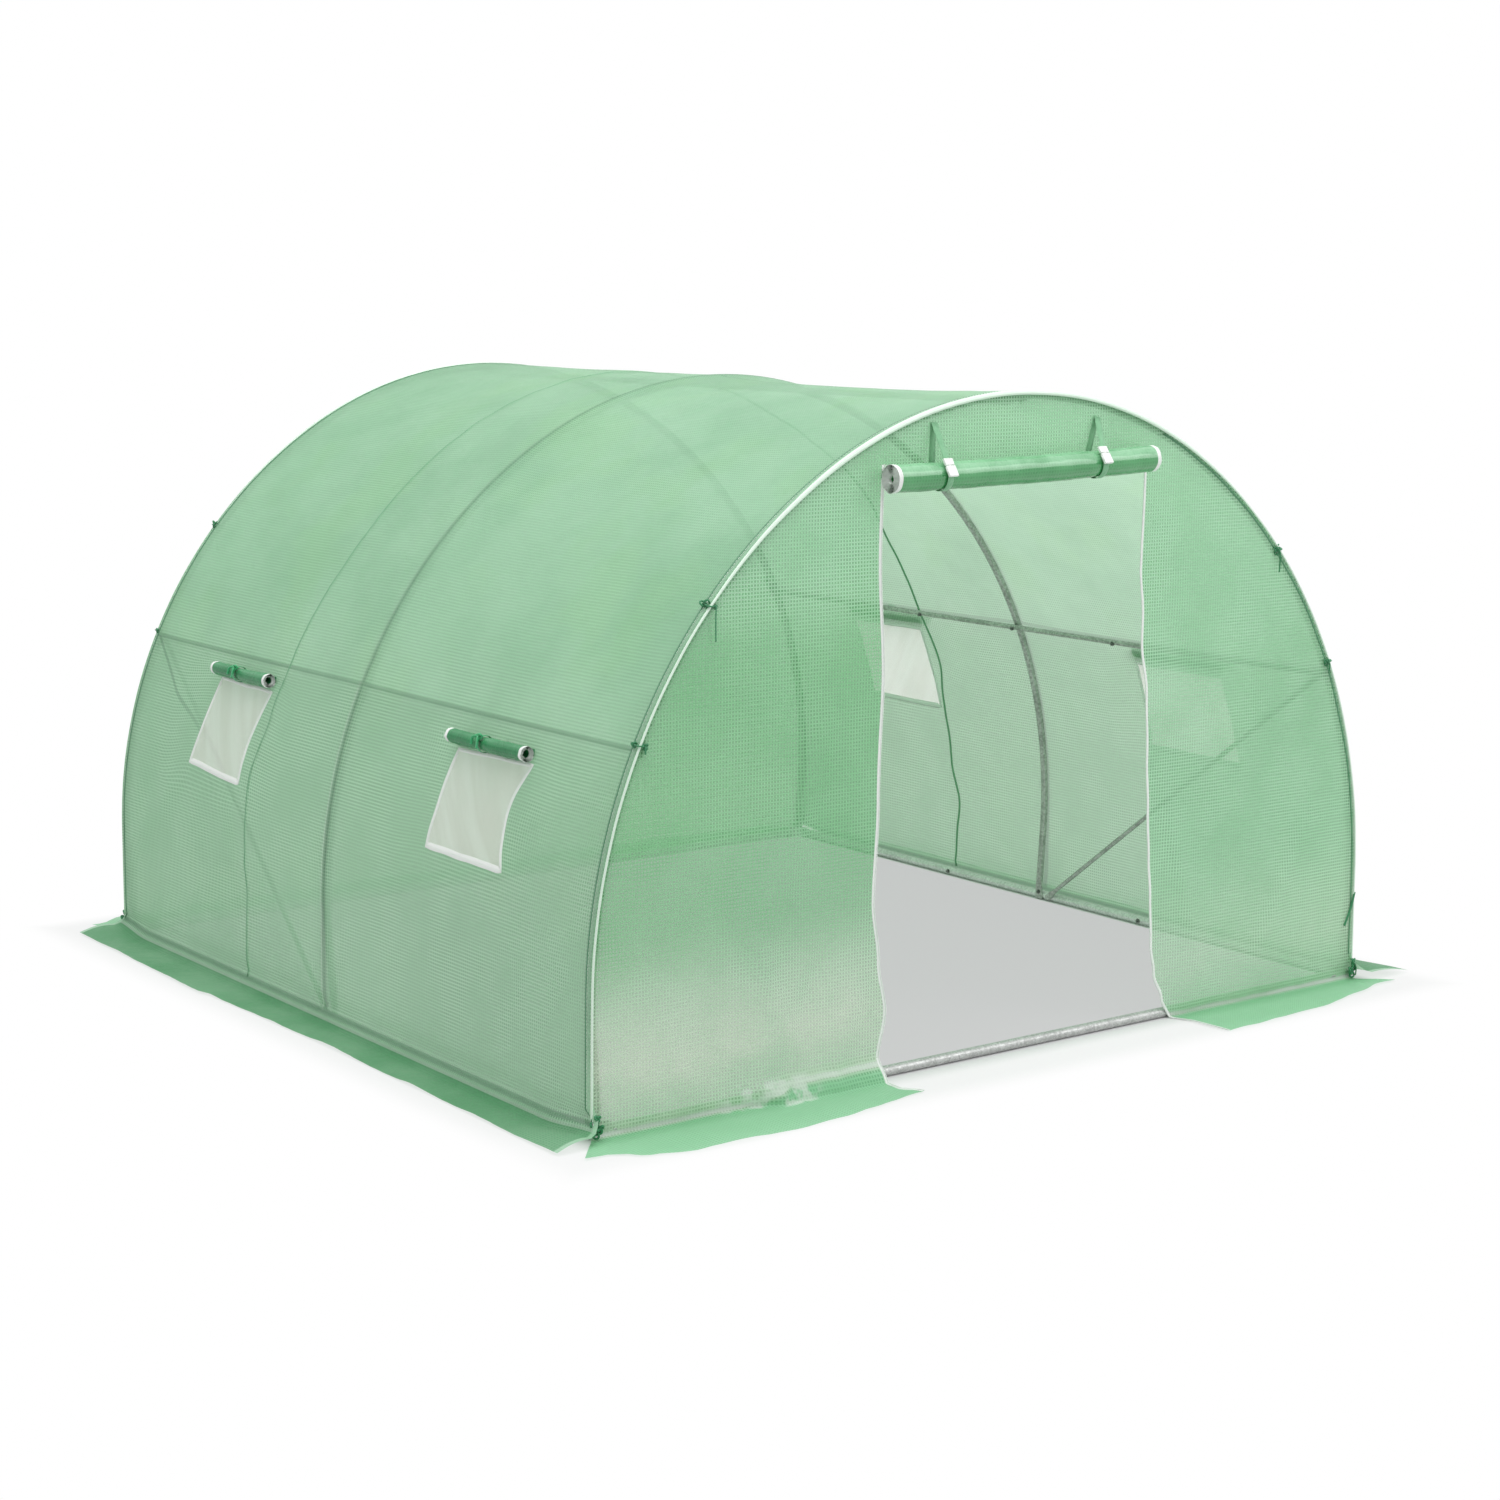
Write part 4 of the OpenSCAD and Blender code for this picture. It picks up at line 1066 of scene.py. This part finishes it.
def lintel_panel():
    """Panel over the doorway, between the two door edges."""
    x0, x1 = through(LEFT_DOOR_EDGE, DOOR_TOP), through(RIGHT_DOOR_EDGE, DOOR_TOP)
    shape = Shape()
    rows = []
    for k in range(49):
        x = x0 + (x1 - x0) * k / 48
        top = CROWN_Z + math.sqrt(ROOF_R**2 - x * x) - 0.001
        zs = [DOOR_TOP + (top - DOOR_TOP) * j / 14 for j in range(15)]
        rows.append([shape.point(panel_point(x, z, -1), (x, z)) for z in zs])
    shape.grid(rows, turn=True)
    piece = shape.piece("lintel", [PANEL], "cover_sheet", ["over_door_panel"])


lintel_panel()


def rear_sheet():
    """Closed rear end in one piece with its skirt."""
    top = ARCH_TOP - 0.001
    shape = Shape()
    rows = []
    for d in skirt_rows(top - 0.004, 0.026):
        half = arch_x(max(d, PANEL_FOLD_R)) - 0.001 + REAR_SPREAD * max(0.0, -d) / END_SKIRT
        xs = [half * (2 * k / 110 - 1) for k in range(111)]
        rows.append([shape.point(panel_point(x, skirt_reach(d, x, REAR_SKIRT), 1), (x, d)) for x in xs])
    shape.grid(rows)
    piece = shape.piece("rear_end", [PANEL], "cover_sheet", ["rear_panel"])
    wide, tall = 2 * arch_x(0.4), top + END_SKIRT
    area = 2 * panel_area(lambda z: 0.0, top) + wide * 0.2


rear_sheet()


# Trim on the cover

STITCHES = row_growth("stitches", WHITE_THREAD)
ZIP_TEETH = row_growth("zip_teeth", WHITE_PLASTIC)


def end_trim(end_name, end):
    """Pale piping along an end arch, broader at its top, with the stitched seam of the hoop's sleeve."""
    ss = lines(-S_WALL, S_WALL, 0.025)
    places, outs, seams, stitches = [], [], [], []
    for s in ss:
        point, out = cover_line(s)
        point = point - out * (0.005 + 0.0012 * wander(s * 6.0, end, 3.0))
        point.y = end * (PANEL_Y + 0.0035)
        places.append(point)
        outs.append((out + Vector((0, end, 0))).normalized())
        y = end * (PANEL_Y - 0.02)
        seams.append(barrel(s, y, 0.0004))
        stitches.append(barrel(s, y + end * 0.006, 0.0012))
    steps = []
    for s, (place, across, out, length) in zip(ss, steps_along(places, outs)):
        broad = 1 + 1.3 * smooth(1.3, 0.5, abs(s + 0.1))
        steps.append((place, across * broad, out * broad, length))
    swept(f"{end_name}_edge_piping", steps, round_profile(0.0037, 12, 0.7), PALE_PIPING, "white_trim",
          [f"{end_name}_piping"])
    seam_steps = steps_along(seams, [cover_line(s)[1] for s in ss])
    swept(f"{end_name}_sleeve_seam", seam_steps, flat_profile(0.006, 0.001), SEAM_TAPE, "green_tape")
    sizes = {"Pitch": 0.011, "Length": 0.007, "Thread": 0.0008}
    grown(f"{end_name}_sleeve_stitches", STITCHES, sizes, paths=[stitches])


end_trim("front", -1)
end_trim("rear", 1)


def sleeve_hem():
    """Inner hem of the hoop's sleeve on the right of the door end, close under the arch."""
    places, outs = [], []
    for s in lines(0.6, S_WALL - 0.05, 0.025):
        point, out = cover_line(s)
        point = point - out * (0.0175 + 0.0035 * wander(s * 5.0, 0.0, 7.0))
        places.append(panel_point(point.x, point.z, -1, 0.0004))
        outs.append(Vector((0, -1, 0)))
    swept("front_sleeve_hem", steps_along(places, outs), flat_profile(0.005, 0.001), SEAM_TAPE, "green_tape")


sleeve_hem()

# Waver of the seam between the two widths of sheet, as (height, place along the tunnel)
SEAM_WAVER = {
    -1: [
        (0.04, 0.542), (0.3, 0.54), (0.52, 0.565), (0.69, 0.575), (0.89, 0.53), (1.08, 0.515), (1.37, 0.50),
        (1.9, 0.54),
    ],
    1: [
        (0.12, 0.515), (0.3, 0.50), (0.45, 0.545), (0.7, 0.56), (0.86, 0.535), (1.07, 0.565), (1.32, 0.56),
        (1.58, 0.50), (1.9, 0.54),
    ],
}


def cross_seam():
    """Bound seam between the two widths of sheet, standing mostly inside the sheet."""
    places, outs = [], []
    for s in lines(-S_WALL, S_WALL, 0.02):
        point, out = cover_line(s)
        places.append(barrel(s, through(SEAM_WAVER[1 if s > 0 else -1], point.z)))
        outs.append(out)
    profile = flat_profile(0.007, 0.0052, -0.0045)
    swept("cross_seam", steps_along(places, outs), profile, SOFT_SEAM_TAPE, "green_tape")


cross_seam()


def door_zip(name, edge, side, skirt, replaced=()):
    """Zip along one door edge, from the edge of the skirt to the top of the doorway, with its teeth."""
    ground = skirt_reach(-END_SKIRT, through(edge, -END_SKIRT), skirt)
    places, outs, teeth = [], [], []
    for d in lines(ground + 0.004, DOOR_TOP, 0.014, [0.0, PANEL_FOLD_R]):
        x = through(edge, d if d > 0 else d / ground * -END_SKIRT)
        out = (panel_point(x, d, -1, 0.001) - panel_point(x, d, -1)).normalized()
        places.append(panel_point(x, d, -1))
        outs.append(out)
        teeth.append(panel_point(x - side * 0.0042, d, -1, 0.0018))
    profile = flat_profile(0.010, 0.0018, -0.0008)
    swept(name, steps_along(places, outs), profile, WHITE_TAPE, "white_trim", replaced)
    sizes = {"Pitch": 0.0045, "Length": 0.003, "Thread": 0.0017}
    grown(f"{name}_teeth", ZIP_TEETH, sizes, paths=[teeth])


door_zip("left_door_zip", LEFT_DOOR_EDGE, -1, LEFT_SKIRT, ["door_zips"])
door_zip("right_door_zip", RIGHT_DOOR_EDGE, 1, RIGHT_SKIRT)


# Windows, rolled flaps and the rolled door

FLAP_R = 0.024
# Rolled flaps, as (middle along the tunnel, half length, height of the middle)
FLAPS = {
    (-1, -0.8): (-0.832, 0.212, 0.987),
    (-1, 0.8): (0.752, 0.195, 1.006),
    (1, -0.8): (-0.80, 0.225, 1.015),
    (1, 0.8): (0.80, 0.225, 1.015),
}
FLAP_TIE = 0.02
# Gap between a roll and the sheet that it hangs on
ROLL_GAP = 0.0045
ROLL_LEAD = 0.02
ROLL_CORE = 0.012
END_TAPE = 0.014
DOOR_ROLL_R = 0.042
DOOR_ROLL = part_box("door_roll")
DOOR_ROLL_X = (DOOR_ROLL[0][0] + DOOR_ROLL[1][0]) / 2
DOOR_ROLL_HALF = (DOOR_ROLL[1][0] - DOOR_ROLL[0][0]) / 2
DOOR_ROLL_ZS = (1.764, 1.787)
STRAP_TOP = 1.916


def window(label, side, y_mid, node):
    """Net with its binding, sewn into one window of the barrel."""
    top, bottom = window_s(WINDOW_TOP, side), window_s(WINDOW_BOTTOM, side)
    half = WINDOW_W / 2
    shape = Shape()
    rows = []
    for i in range(17):
        s = top + (bottom - top) * i / 16
        row = []
        for j in range(23):
            y = y_mid - half + WINDOW_W * j / 22
            slack = 16 * (i / 16) * (1 - i / 16) * (j / 22) * (1 - j / 22)
            dip = slack * (0.004 + 0.0016 * wander(s * 9.0, y * 9.0, 6.6))
            row.append(shape.point(barrel(*pulled(s, y), -dip), (s, y)))
        rows.append(row)
    shape.grid(rows, turn=side > 0)
    net = shape.piece(f"{label}_net", [NET], "window_mesh", [node])
    corners = [(top, y_mid - half), (top, y_mid + half), (bottom, y_mid + half), (bottom, y_mid - half)]
    path = []
    for (s0, y0), (s1, y1) in zip(corners, corners[1:] + corners[:1]):
        path += [(s0 + (s1 - s0) * k / 20, y0 + (y1 - y0) * k / 20) for k in range(20)]
    places, outs, stitches = [], [], []
    for s, y in path:
        s, y = pulled(s, y)
        s_wave = 0.003 * wander(y * 11.0, s * 11.0, 3.9)
        places.append(barrel(s + s_wave, y + 0.004 * wander(s * 11.0, y * 11.0, 5.2)))
        outs.append(cover_line(s)[1])
        stitches.append(barrel(s, y, 0.0016))
    steps = []
    for k, (place, across, out, length) in enumerate(steps_along(places, outs, True)):
        steps.append((place, across * (1.5 if 40 <= k < 60 else 0.85), out, length))
    profile = flat_profile(BINDING_W, 0.002, -0.0007)
    binding = swept(f"{label}_binding", steps, profile, WHITE_TAPE, "white_trim", closed=True)
    sizes = {"Pitch": 0.009, "Length": 0.0055, "Thread": 0.0006}
    grown(f"{label}_stitches", STITCHES, sizes, paths=[stitches + stitches[:1]])


def rolled_sheet(name, look, frame_of, radius, half, turns, seed, replaced, tied_at):
    """Sheet rolled up on itself: frame_of(u) gives the roll's middle, its outward and its upward direction at
    u along it. The sheet comes down from its seam, ROLL_LEAD above, and winds inwards to its core."""
    shape = Shape()
    steps = 26
    n = round(turns * steps)
    us = lines(-half, half, 0.018, [-half + END_TAPE, half - END_TAPE])
    rows = []
    run = 0.0
    for i in range(-3, n + 1):
        wound = max(i, 0)
        a = math.pi + 2 * math.pi * wound / steps
        r = radius + (ROLL_CORE - radius) * wound / n
        outer = smooth(2.5 * steps, 0.0, wound)
        row = []
        for u in us:
            mid, out, up = frame_of(u)
            pinch = sum(bell(u - b, 0.03) for b in tied_at)
            ragged = smooth(half - 0.03, half, abs(u)) * 0.0022 * wander(wound * 0.5, u, seed + 2)
            dent = 0.0018 * wander(u * 14.0, math.sin(a) * 1.5, seed) - 0.0024 * pinch
            dent += 0.0014 * wander(u * 40.0, math.cos(a) * 2.0, seed + 1)
            q = r + outer * dent + ragged
            place = mid + out * (q * math.cos(a)) + up * (q * math.sin(a))
            if i < 0:
                place = mid - out * (radius - 0.0015 * -i) + up * (ROLL_LEAD * -i / 3)
            row.append(shape.point(place, (u, run)))
        rows.append(row)
        run += 2 * math.pi * r / steps if i >= 0 else ROLL_LEAD / 3
    last = len(us) - 2
    shape.grid(rows, look=lambda i, j: 1 if j in (0, last) and i >= 3 else 0)
    piece = shape.piece(name, [look, WHITE_TAPE], "rolled_sheet", replaced)


def flap_frame(side, y_mid):
    """Frame of a rolled flap above its window."""
    middle, half, height = FLAPS[side, y_mid]
    s = window_s(height, side)
    out = cover_line(s)[1]
    up = Vector((-side * out.z, 0, side * out.x))

    def at(u):
        sag = 0.0025 * (1 - (u / half) ** 2)
        mid = barrel(s, middle + u * 0.9, FLAP_R + ROLL_GAP) - up * sag
        mid.y = middle + u
        return mid, out, up

    return at


def door_frame(u):
    """Frame of the rolled door: it hangs a little lower on the left."""
    share = (u / DOOR_ROLL_HALF + 1) / 2
    z = DOOR_ROLL_ZS[0] + (DOOR_ROLL_ZS[1] - DOOR_ROLL_ZS[0]) * share
    z -= 0.004 * (1 - (u / DOOR_ROLL_HALF) ** 2)
    return Vector((DOOR_ROLL_X + u, -PANEL_Y - DOOR_ROLL_R - ROLL_GAP, z)), Vector((0, -1, 0)), UP


# Ties, straps and buckles


def around(frame_of, u, radius, top, width, thick, lean=0.0):
    """Tape that is sewn on above a roll at height top over its middle, goes down behind the roll, round under
    it and up its front again; lean is how far its top lies along the roll from u. Returns its mesh shape and
    the place, outward direction and upward direction at which its front part leaves the roll."""
    mid, out, up = frame_of(u)
    along = up.cross(out)
    leave = math.pi - 2 * math.atan2(top, radius)
    path = []
    for k in range(6):
        path.append((-radius, top * (1 - k / 6), lean * (1 - k / 6)))
    turns = [math.pi + (math.pi + leave) * k / 30 for k in range(31)]
    path += [(radius * math.cos(a), radius * math.sin(a), 0.0) for a in turns]
    last = path[-1]
    for k in range(1, 7):
        path.append(tuple(b + (e - b) * k / 6 * 0.985 for b, e in zip(last, (-radius + 0.0022, top, lean))))
    places = [mid + out * a + up * b + along * c for a, b, c in path]
    outs = []
    for a, b, c in path:
        outs.append((out * a + up * b).normalized() if abs(math.hypot(a, b) - radius) < 0.001 else None)
    outs[:6] = [-out] * 6
    front = out * math.cos(leave) + up * math.sin(leave)
    outs = [front if o is None else o for o in outs]
    shape = Shape()
    shape.sweep(steps_along(places, outs), flat_profile(width, thick))
    ride = up * math.cos(leave) - out * math.sin(leave)
    return shape, mid + front * radius, front, ride


def knot_path(at, front, up, size, turned):
    """Places of an overhand knot, drawn as a trefoil in the plane across front."""
    across = up.cross(front)
    places = []
    for k in range(37):
        t = 2 * math.pi * k / 36 + turned
        a, b = math.sin(t) + 2 * math.sin(2 * t), math.cos(t) - 2 * math.cos(2 * t)
        places.append(at + (across * a + up * b) * (size / 3) - front * (math.sin(3 * t) * size * 0.28))
    return places


def tail_path(at, front, up, aside, drop, seed):
    """Places of a loose end that leaves a knot, bends over and hangs."""
    across = up.cross(front)
    swing = 0.008 * wander(seed, 0.5, 2.0)
    points = [
        at,
        at + across * aside * 0.5 + front * 0.008,
        at + across * aside + front * 0.01 - up * drop * 0.3,
        at + across * (aside * 1.15 + swing) + front * 0.006 - up * drop,
    ]
    return curve_through(points, 6)


def tied_knot(shape, at, front, up, size, thick, tails, seed, look=0):
    """Knot with loose ends, tails being (aside, drop) of each."""
    shape.sweep(free_steps(knot_path(at, front, up, size, seed)), round_profile(thick, 8), look=look)
    for aside, drop in tails:
        path = tail_path(at, front, up, aside, drop, seed + aside)
        shape.sweep(free_steps(path), round_profile(thick * 1.3, 8, 0.5), look=look)


def flap_tie(label, side, y_mid, replaced):
    """Bright tape tied round a rolled flap, with its bow in front."""
    mid, out, over = flap_frame(side, y_mid)(FLAP_TIE)
    outs = [out * math.cos(a) + over * math.sin(a) for a in (2 * math.pi * k / 36 for k in range(36))]
    shape = Shape()
    ring = steps_along([mid + o * (FLAP_R + 0.0008) for o in outs], outs, True)
    shape.sweep(ring, flat_profile(0.011, 0.0012), closed=True)
    at = mid + (out * 0.9 + over * 0.43) * (FLAP_R + 0.006)
    tied_knot(shape, at, out, over, 0.013, 0.0034, [(0.012, 0.034), (-0.016, 0.026)], y_mid + side)
    shape.piece(f"{label}_tie", [TIE_TAPE], "green_tape", replaced)


def eased(mesh, width):
    """The same mesh with its edges rounded."""
    piece = linked("eased", mesh)
    bevel = piece.modifiers.new("edges", "BEVEL")
    bevel.width = width
    bevel.segments = 2
    plain = plain_mesh(piece)
    bpy.data.objects.remove(piece)
    return plain


# Outlines of the parts of a buckle, as (across, up) from its middle
BUCKLE_SOCKET = [
    (-0.0165, -0.023), (0.0165, -0.023), (0.0165, 0.002), (0.0135, 0.004), (-0.0135, 0.004), (-0.0165, 0.002),
]
BUCKLE_PLUG = [
    (-0.0155, 0.006), (0.0155, 0.006), (0.0165, 0.010), (0.0165, 0.023), (-0.0165, 0.023), (-0.0165, 0.010),
]
BUCKLE_PRONG = [(0.0135, -0.014), (0.0185, -0.012), (0.0185, -0.002), (0.0135, 0.007)]
BUCKLE_BRIDGE = [(-0.004, 0.003), (0.004, 0.003), (0.004, 0.008), (-0.004, 0.008)]


def buckle(name, at, front, up, replaced=()):
    """Side-release buckle: a socket, and a plug with two sprung prongs that show at its sides."""
    across = up.cross(front)

    def place(u, v, w):
        return at + across * u + up * v * 1.25 + front * w

    shape = Shape()
    shape.slab(BUCKLE_SOCKET, 0.0, 0.0085, place)
    shape.slab(BUCKLE_PLUG, 0.0, 0.0075, place)
    for side in SIDES:
        prong = [(side * u, v) for u, v in BUCKLE_PRONG]
        shape.slab(prong[::side], 0.0018, 0.0066, place)
    shape.slab(BUCKLE_BRIDGE, 0.001, 0.006, place)
    finish_piece(name, eased(shape.mesh(name, False), 0.0011), [WHITE_PLASTIC], replaced)


def door_strap(label, u, lean, replaced, buckle_replaced):
    """Strap that holds the rolled door up, with its buckle."""
    mid = door_frame(u)[0]
    rise = STRAP_TOP - mid.z
    shape, at, front, up = around(door_frame, u, DOOR_ROLL_R + 0.0014, rise, 0.022, 0.0012, lean)
    shape.piece(f"{label}_door_strap", [STRAP_TAPE], "green_tape", replaced)
    buckle(f"{label}_door_buckle", at + front * 0.0004, front, up, buckle_replaced)


for side_name, side in (("left", -1), ("right", 1)):
    for end_name, y_mid in zip(("front", "rear"), WINDOW_YS):
        label = f"{side_name}_{end_name}"
        window(f"{label}_window", side, y_mid, f"{label}_screen")
        rolled_sheet(
            f"{label}_flap_roll", ROLLED_FLAP, flap_frame(side, y_mid), FLAP_R, FLAPS[side, y_mid][1],
            turns=3.4, seed=11.0 + side + y_mid, replaced=[f"{label}_flap"],
            tied_at=[FLAP_TIE],
        )
        flap_tie(label, side, y_mid, ["window_ties"] if label == "left_front" else ())

STRAP_US = (-0.355 - DOOR_ROLL_X, 0.25 - DOOR_ROLL_X)
rolled_sheet(
    "rolled_door", ROLLED_DOOR, door_frame, DOOR_ROLL_R, DOOR_ROLL_HALF,
    turns=11.0, seed=21.0, replaced=["door_roll"], tied_at=STRAP_US,
)
door_strap("left", STRAP_US[0], 0.004, ["door_straps"], ["door_buckles"])
door_strap("right", STRAP_US[1], 0.038, (), ())

# Ties of the cover on the end hoops, as (side, height, size of the knot on the barrel, size of the knot on
# the panel, length of the tail)
HOOP_KNOTS = [
    (-1, 1.44, 0.016, 0.006, 0.095),
    (-1, 1.077, 0.008, 0.010, 0.02),
    (1, 1.475, 0.011, 0.014, 0.07),
    (1, 1.096, 0.008, 0.012, 0.03),
]
# Knots in the tangle at each foot, as (place inwards, height above its middle, size)
FOOT_TANGLE = [(0.0, -0.008, 0.016), (-0.006, 0.014, 0.013), (0.010, 0.003, 0.013), (0.002, 0.034, 0.009)]


def cover_knots():
    """Tapes knotted over the edge of the cover on the end hoops, with loose ends, and tangles at the feet."""
    shape = Shape()
    for end in SIDES:
        front = Vector((0, end, 0))
        for k, (side, z, over, inner, tail) in enumerate(HOOP_KNOTS):
            s = window_s(z, side)
            out = cover_line(s)[1]
            top = barrel(s, end * (PANEL_Y - 0.013), 0.004)
            low = Vector((side * (arch_x(z) - 0.02), end * (PANEL_Y + 0.006), z - 0.004))
            tied_knot(shape, top, (out + front).normalized(), UP, over, 0.0026, [], k + end)
            tied_knot(shape, low, front, UP, inner, 0.0024, [(-side * end * 0.006, tail)], k - end)
            edge = Vector((side * (arch_x(z) + 0.003), end * (PANEL_Y + 0.005), z))
            shape.sweep(free_steps(curve_through([top, edge, low], 5)), round_profile(0.004, 8, 0.5))
        for side in SIDES:
            foot = Vector((side * (arch_x(0.05) - 0.012), end * (PANEL_Y + 0.013), 0.033))
            away = Vector((side * 0.2, end * 0.98, 0))
            for k, (aside, rise, size) in enumerate(FOOT_TANGLE):
                at = foot + Vector((-side * aside, end * 0.002 * k, rise))
                tails = [(-0.001, 0.03)] if k == 1 else []
                tied_knot(shape, at, away, UP, size, 0.0032, tails, side + end + k)
    loose = [(arch_x(0.3) - 0.004, 0.3), (arch_x(0.25) - 0.02, 0.25), (arch_x(0.19) - 0.05, 0.19)]
    path = curve_through([(x, -PANEL_Y - 0.006, z) for x, z in loose], 8)
    shape.sweep(free_steps(path), round_profile(0.0036, 8, 0.5))
    shape.piece("cover_tape_ties", [DARK_TIE], "green_tape", ["cover_ties"])


cover_knots()


# Steel frame with its bolts

for name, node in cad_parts.items():
    if name.endswith(("_hoop", "_purlin", "_rail", "_brace")):
        node.data.materials.clear()
        # Painted light: the rails get lighter copies of the steel of the hoops, purlins and braces
        rail = LIT_SILL_STEEL if name == "front_base_rail" else LIT_RAIL_STEEL
        node.data.materials.append(rail if name.endswith("_rail") else STEEL)


# Place along the tunnel of the bolts at the hoops, as a share of the hoop's own place
BOLT_Y_SHARE = 0.9985
FOOT_BOLT_Z = 0.03


def purlin_bolt(side, y, inner):
    """Stand of a bolt end under a side purlin, inner being how far it lies inside the hoop line."""
    radial = Vector((side * math.sin(PURLIN_A), 0, math.cos(PURLIN_A)))
    return Vector((side * SIDE_X, y, SIDE_Z)) + radial * (SIDE_R - inner), -radial


def frame_bolts():
    """Bolt ends with nuts at the purlin joints, the ridge, the feet and the splices of purlins and rails."""
    stands = []
    for end in HOOP_YS:
        inner = HOOP_R + FIT + (FLAT_T if end else PURLIN_D)
        stands.append((Vector((0, end * BOLT_Y_SHARE, HOOP_TOP - inner)), -UP))
        for side in SIDES:
            stands.append(purlin_bolt(side, end * BOLT_Y_SHARE, inner))
            foot = Vector((side * (WIDTH / 2 - FLAT_T / 2), end, FOOT_BOLT_Z))
            stands.append((foot, Vector((-side, 0, 0))))
    for side in SIDES:
        for y in (-SPLICE_Y, SPLICE_Y):
            stands.append(purlin_bolt(side, y, HOOP_R + FIT + PURLIN_D))
            rail = Vector((side * (RAIL_OUT_X - RAIL_D - 2 * FIT), y, RAIL_D / 2))
            stands.append((rail, Vector((-side, 0, 0))))
    return stands


grown("frame_bolts", bolt_growth(), {}, stands=frame_bolts())


# Stage, light and camera

FLOOR_HALF = 60.0
# Half width of the tunnel with its skirts, near which the floor turns white
FLOOR_EDGE = 1.75
SKY = 0.55
PHOTO_SIZE = 1500
PHOTO_FOCAL = 2771.8
CAMERA_AZ = math.radians(-36.655)
CAMERA_EL = math.radians(9.635)
CAMERA_ROLL = math.radians(0.25)
CAMERA_PLACE = Vector((-5.52, -7.593, 2.315))


def seen_directly(rays, n):
    """1 for rays from the camera, also by way of a glossy or clear surface."""
    return n.most(rays["Is Camera Ray"], rays["Is Glossy Ray"], rays["Is Transmission Ray"])


def stage_floor():
    """Pale floor that keeps the shadow near the tunnel and turns white away from it; inside the tunnel it
    shows the camera mostly an even painted shade of grey.
    """
    mesh = bpy.data.meshes.new("floor")
    corners = [(-1, -1), (1, -1), (1, 1), (-1, 1)]
    mesh.from_pydata([(FLOOR_HALF * x, FLOOR_HALF * y, 0) for x, y in corners], [], [(0, 1, 2, 3)])
    f = Finish("pale_floor")
    x, y = f.split(f.place())[:2]
    edge = [f.minus(f.size(v), FLOOR_EDGE) for v in (x, y)]
    beyond = f.most(*edge)
    near = f.ramp(beyond, -0.25, -0.14, 0.0, 0.7)
    away = f.plus(near, f.ramp(beyond, -0.08, 0.07, 0.0, 0.3))
    # Painted shade: inside the tunnel the floor shows an even grey
    inside = f.ramp(beyond, -0.262, -0.25, 1.0, 0.0)
    even = f.most(away, f.times(inside, 0.85))
    plain = f.times(even, seen_directly(f.node("LightPath").outputs, f))
    colour = f.blend(f.noise(f.place(), 0.5), (0.72, 0.72, 0.725), (0.75, 0.75, 0.755))
    skin = f.node("BsdfDiffuse", None, Color=colour).outputs[0]
    white_and_inner_shade = f.blend(inside, (1.0, 1.0, 1.0), (0.61, 0.61, 0.615))
    light = f.node("Emission", None, Color=white_and_inner_shade, Strength=1.0).outputs[0]
    mesh.materials.append(f.done(f.mix(plain, skin, light)))
    linked("floor", mesh)


def world_light():
    """Even sky, seen as white."""
    world = bpy.data.worlds.new("studio")
    world.use_nodes = True
    world.node_tree.nodes.clear()
    n = Nodes(world.node_tree)
    skies = [n.node("Background", None, Color=(1.0, 1.0, 1.0, 1.0), Strength=light) for light in (SKY, 1.0)]
    seen = seen_directly(n.node("LightPath").outputs, n)
    pick = n.node("MixShader", None, i0=seen, i1=skies[0].outputs[0], i2=skies[1].outputs[0]).outputs[0]
    n.node("OutputWorld", None, Surface=pick)
    bpy.context.scene.world = world


def lamp(name, place, aim, size, power):
    """Square soft lamp that is turned to a place."""
    data = bpy.data.lights.new(name, "AREA")
    data.shape = "SQUARE"
    data.size = size
    data.energy = power
    light = linked(name, data)
    light.location = place
    light.rotation_euler = (Vector(aim) - Vector(place)).to_track_quat("-Z", "Y").to_euler()


def photo_camera():
    """The camera fitted to the photo."""
    data = bpy.data.cameras.new("camera")
    data.sensor_width = 36.0
    data.lens = PHOTO_FOCAL * data.sensor_width / PHOTO_SIZE
    data.clip_end = 200.0
    level = math.cos(CAMERA_EL)
    back = Vector((math.sin(CAMERA_AZ) * level, -math.cos(CAMERA_AZ) * level, math.sin(CAMERA_EL)))
    right = Vector((math.cos(CAMERA_AZ), math.sin(CAMERA_AZ), 0))
    up = back.cross(right)
    turned_right = right * math.cos(CAMERA_ROLL) + up * math.sin(CAMERA_ROLL)
    turned_up = up * math.cos(CAMERA_ROLL) - right * math.sin(CAMERA_ROLL)
    camera = linked("camera", data)
    turn = Matrix((turned_right, turned_up, back)).transposed().to_4x4()
    camera.matrix_world = Matrix.Translation(CAMERA_PLACE) @ turn
    bpy.context.scene.camera = camera


stage_floor()
world_light()
lamp("overhead", (-1.2, -1.0, 9.0), (0, 0, 0), 8.0, 560.0)
lamp("key", (4.5, -7.5, 5.5), (0, 0, 0.8), 5.0, 180.0)
photo_camera()
bpy.context.scene.view_settings.view_transform = "Standard"
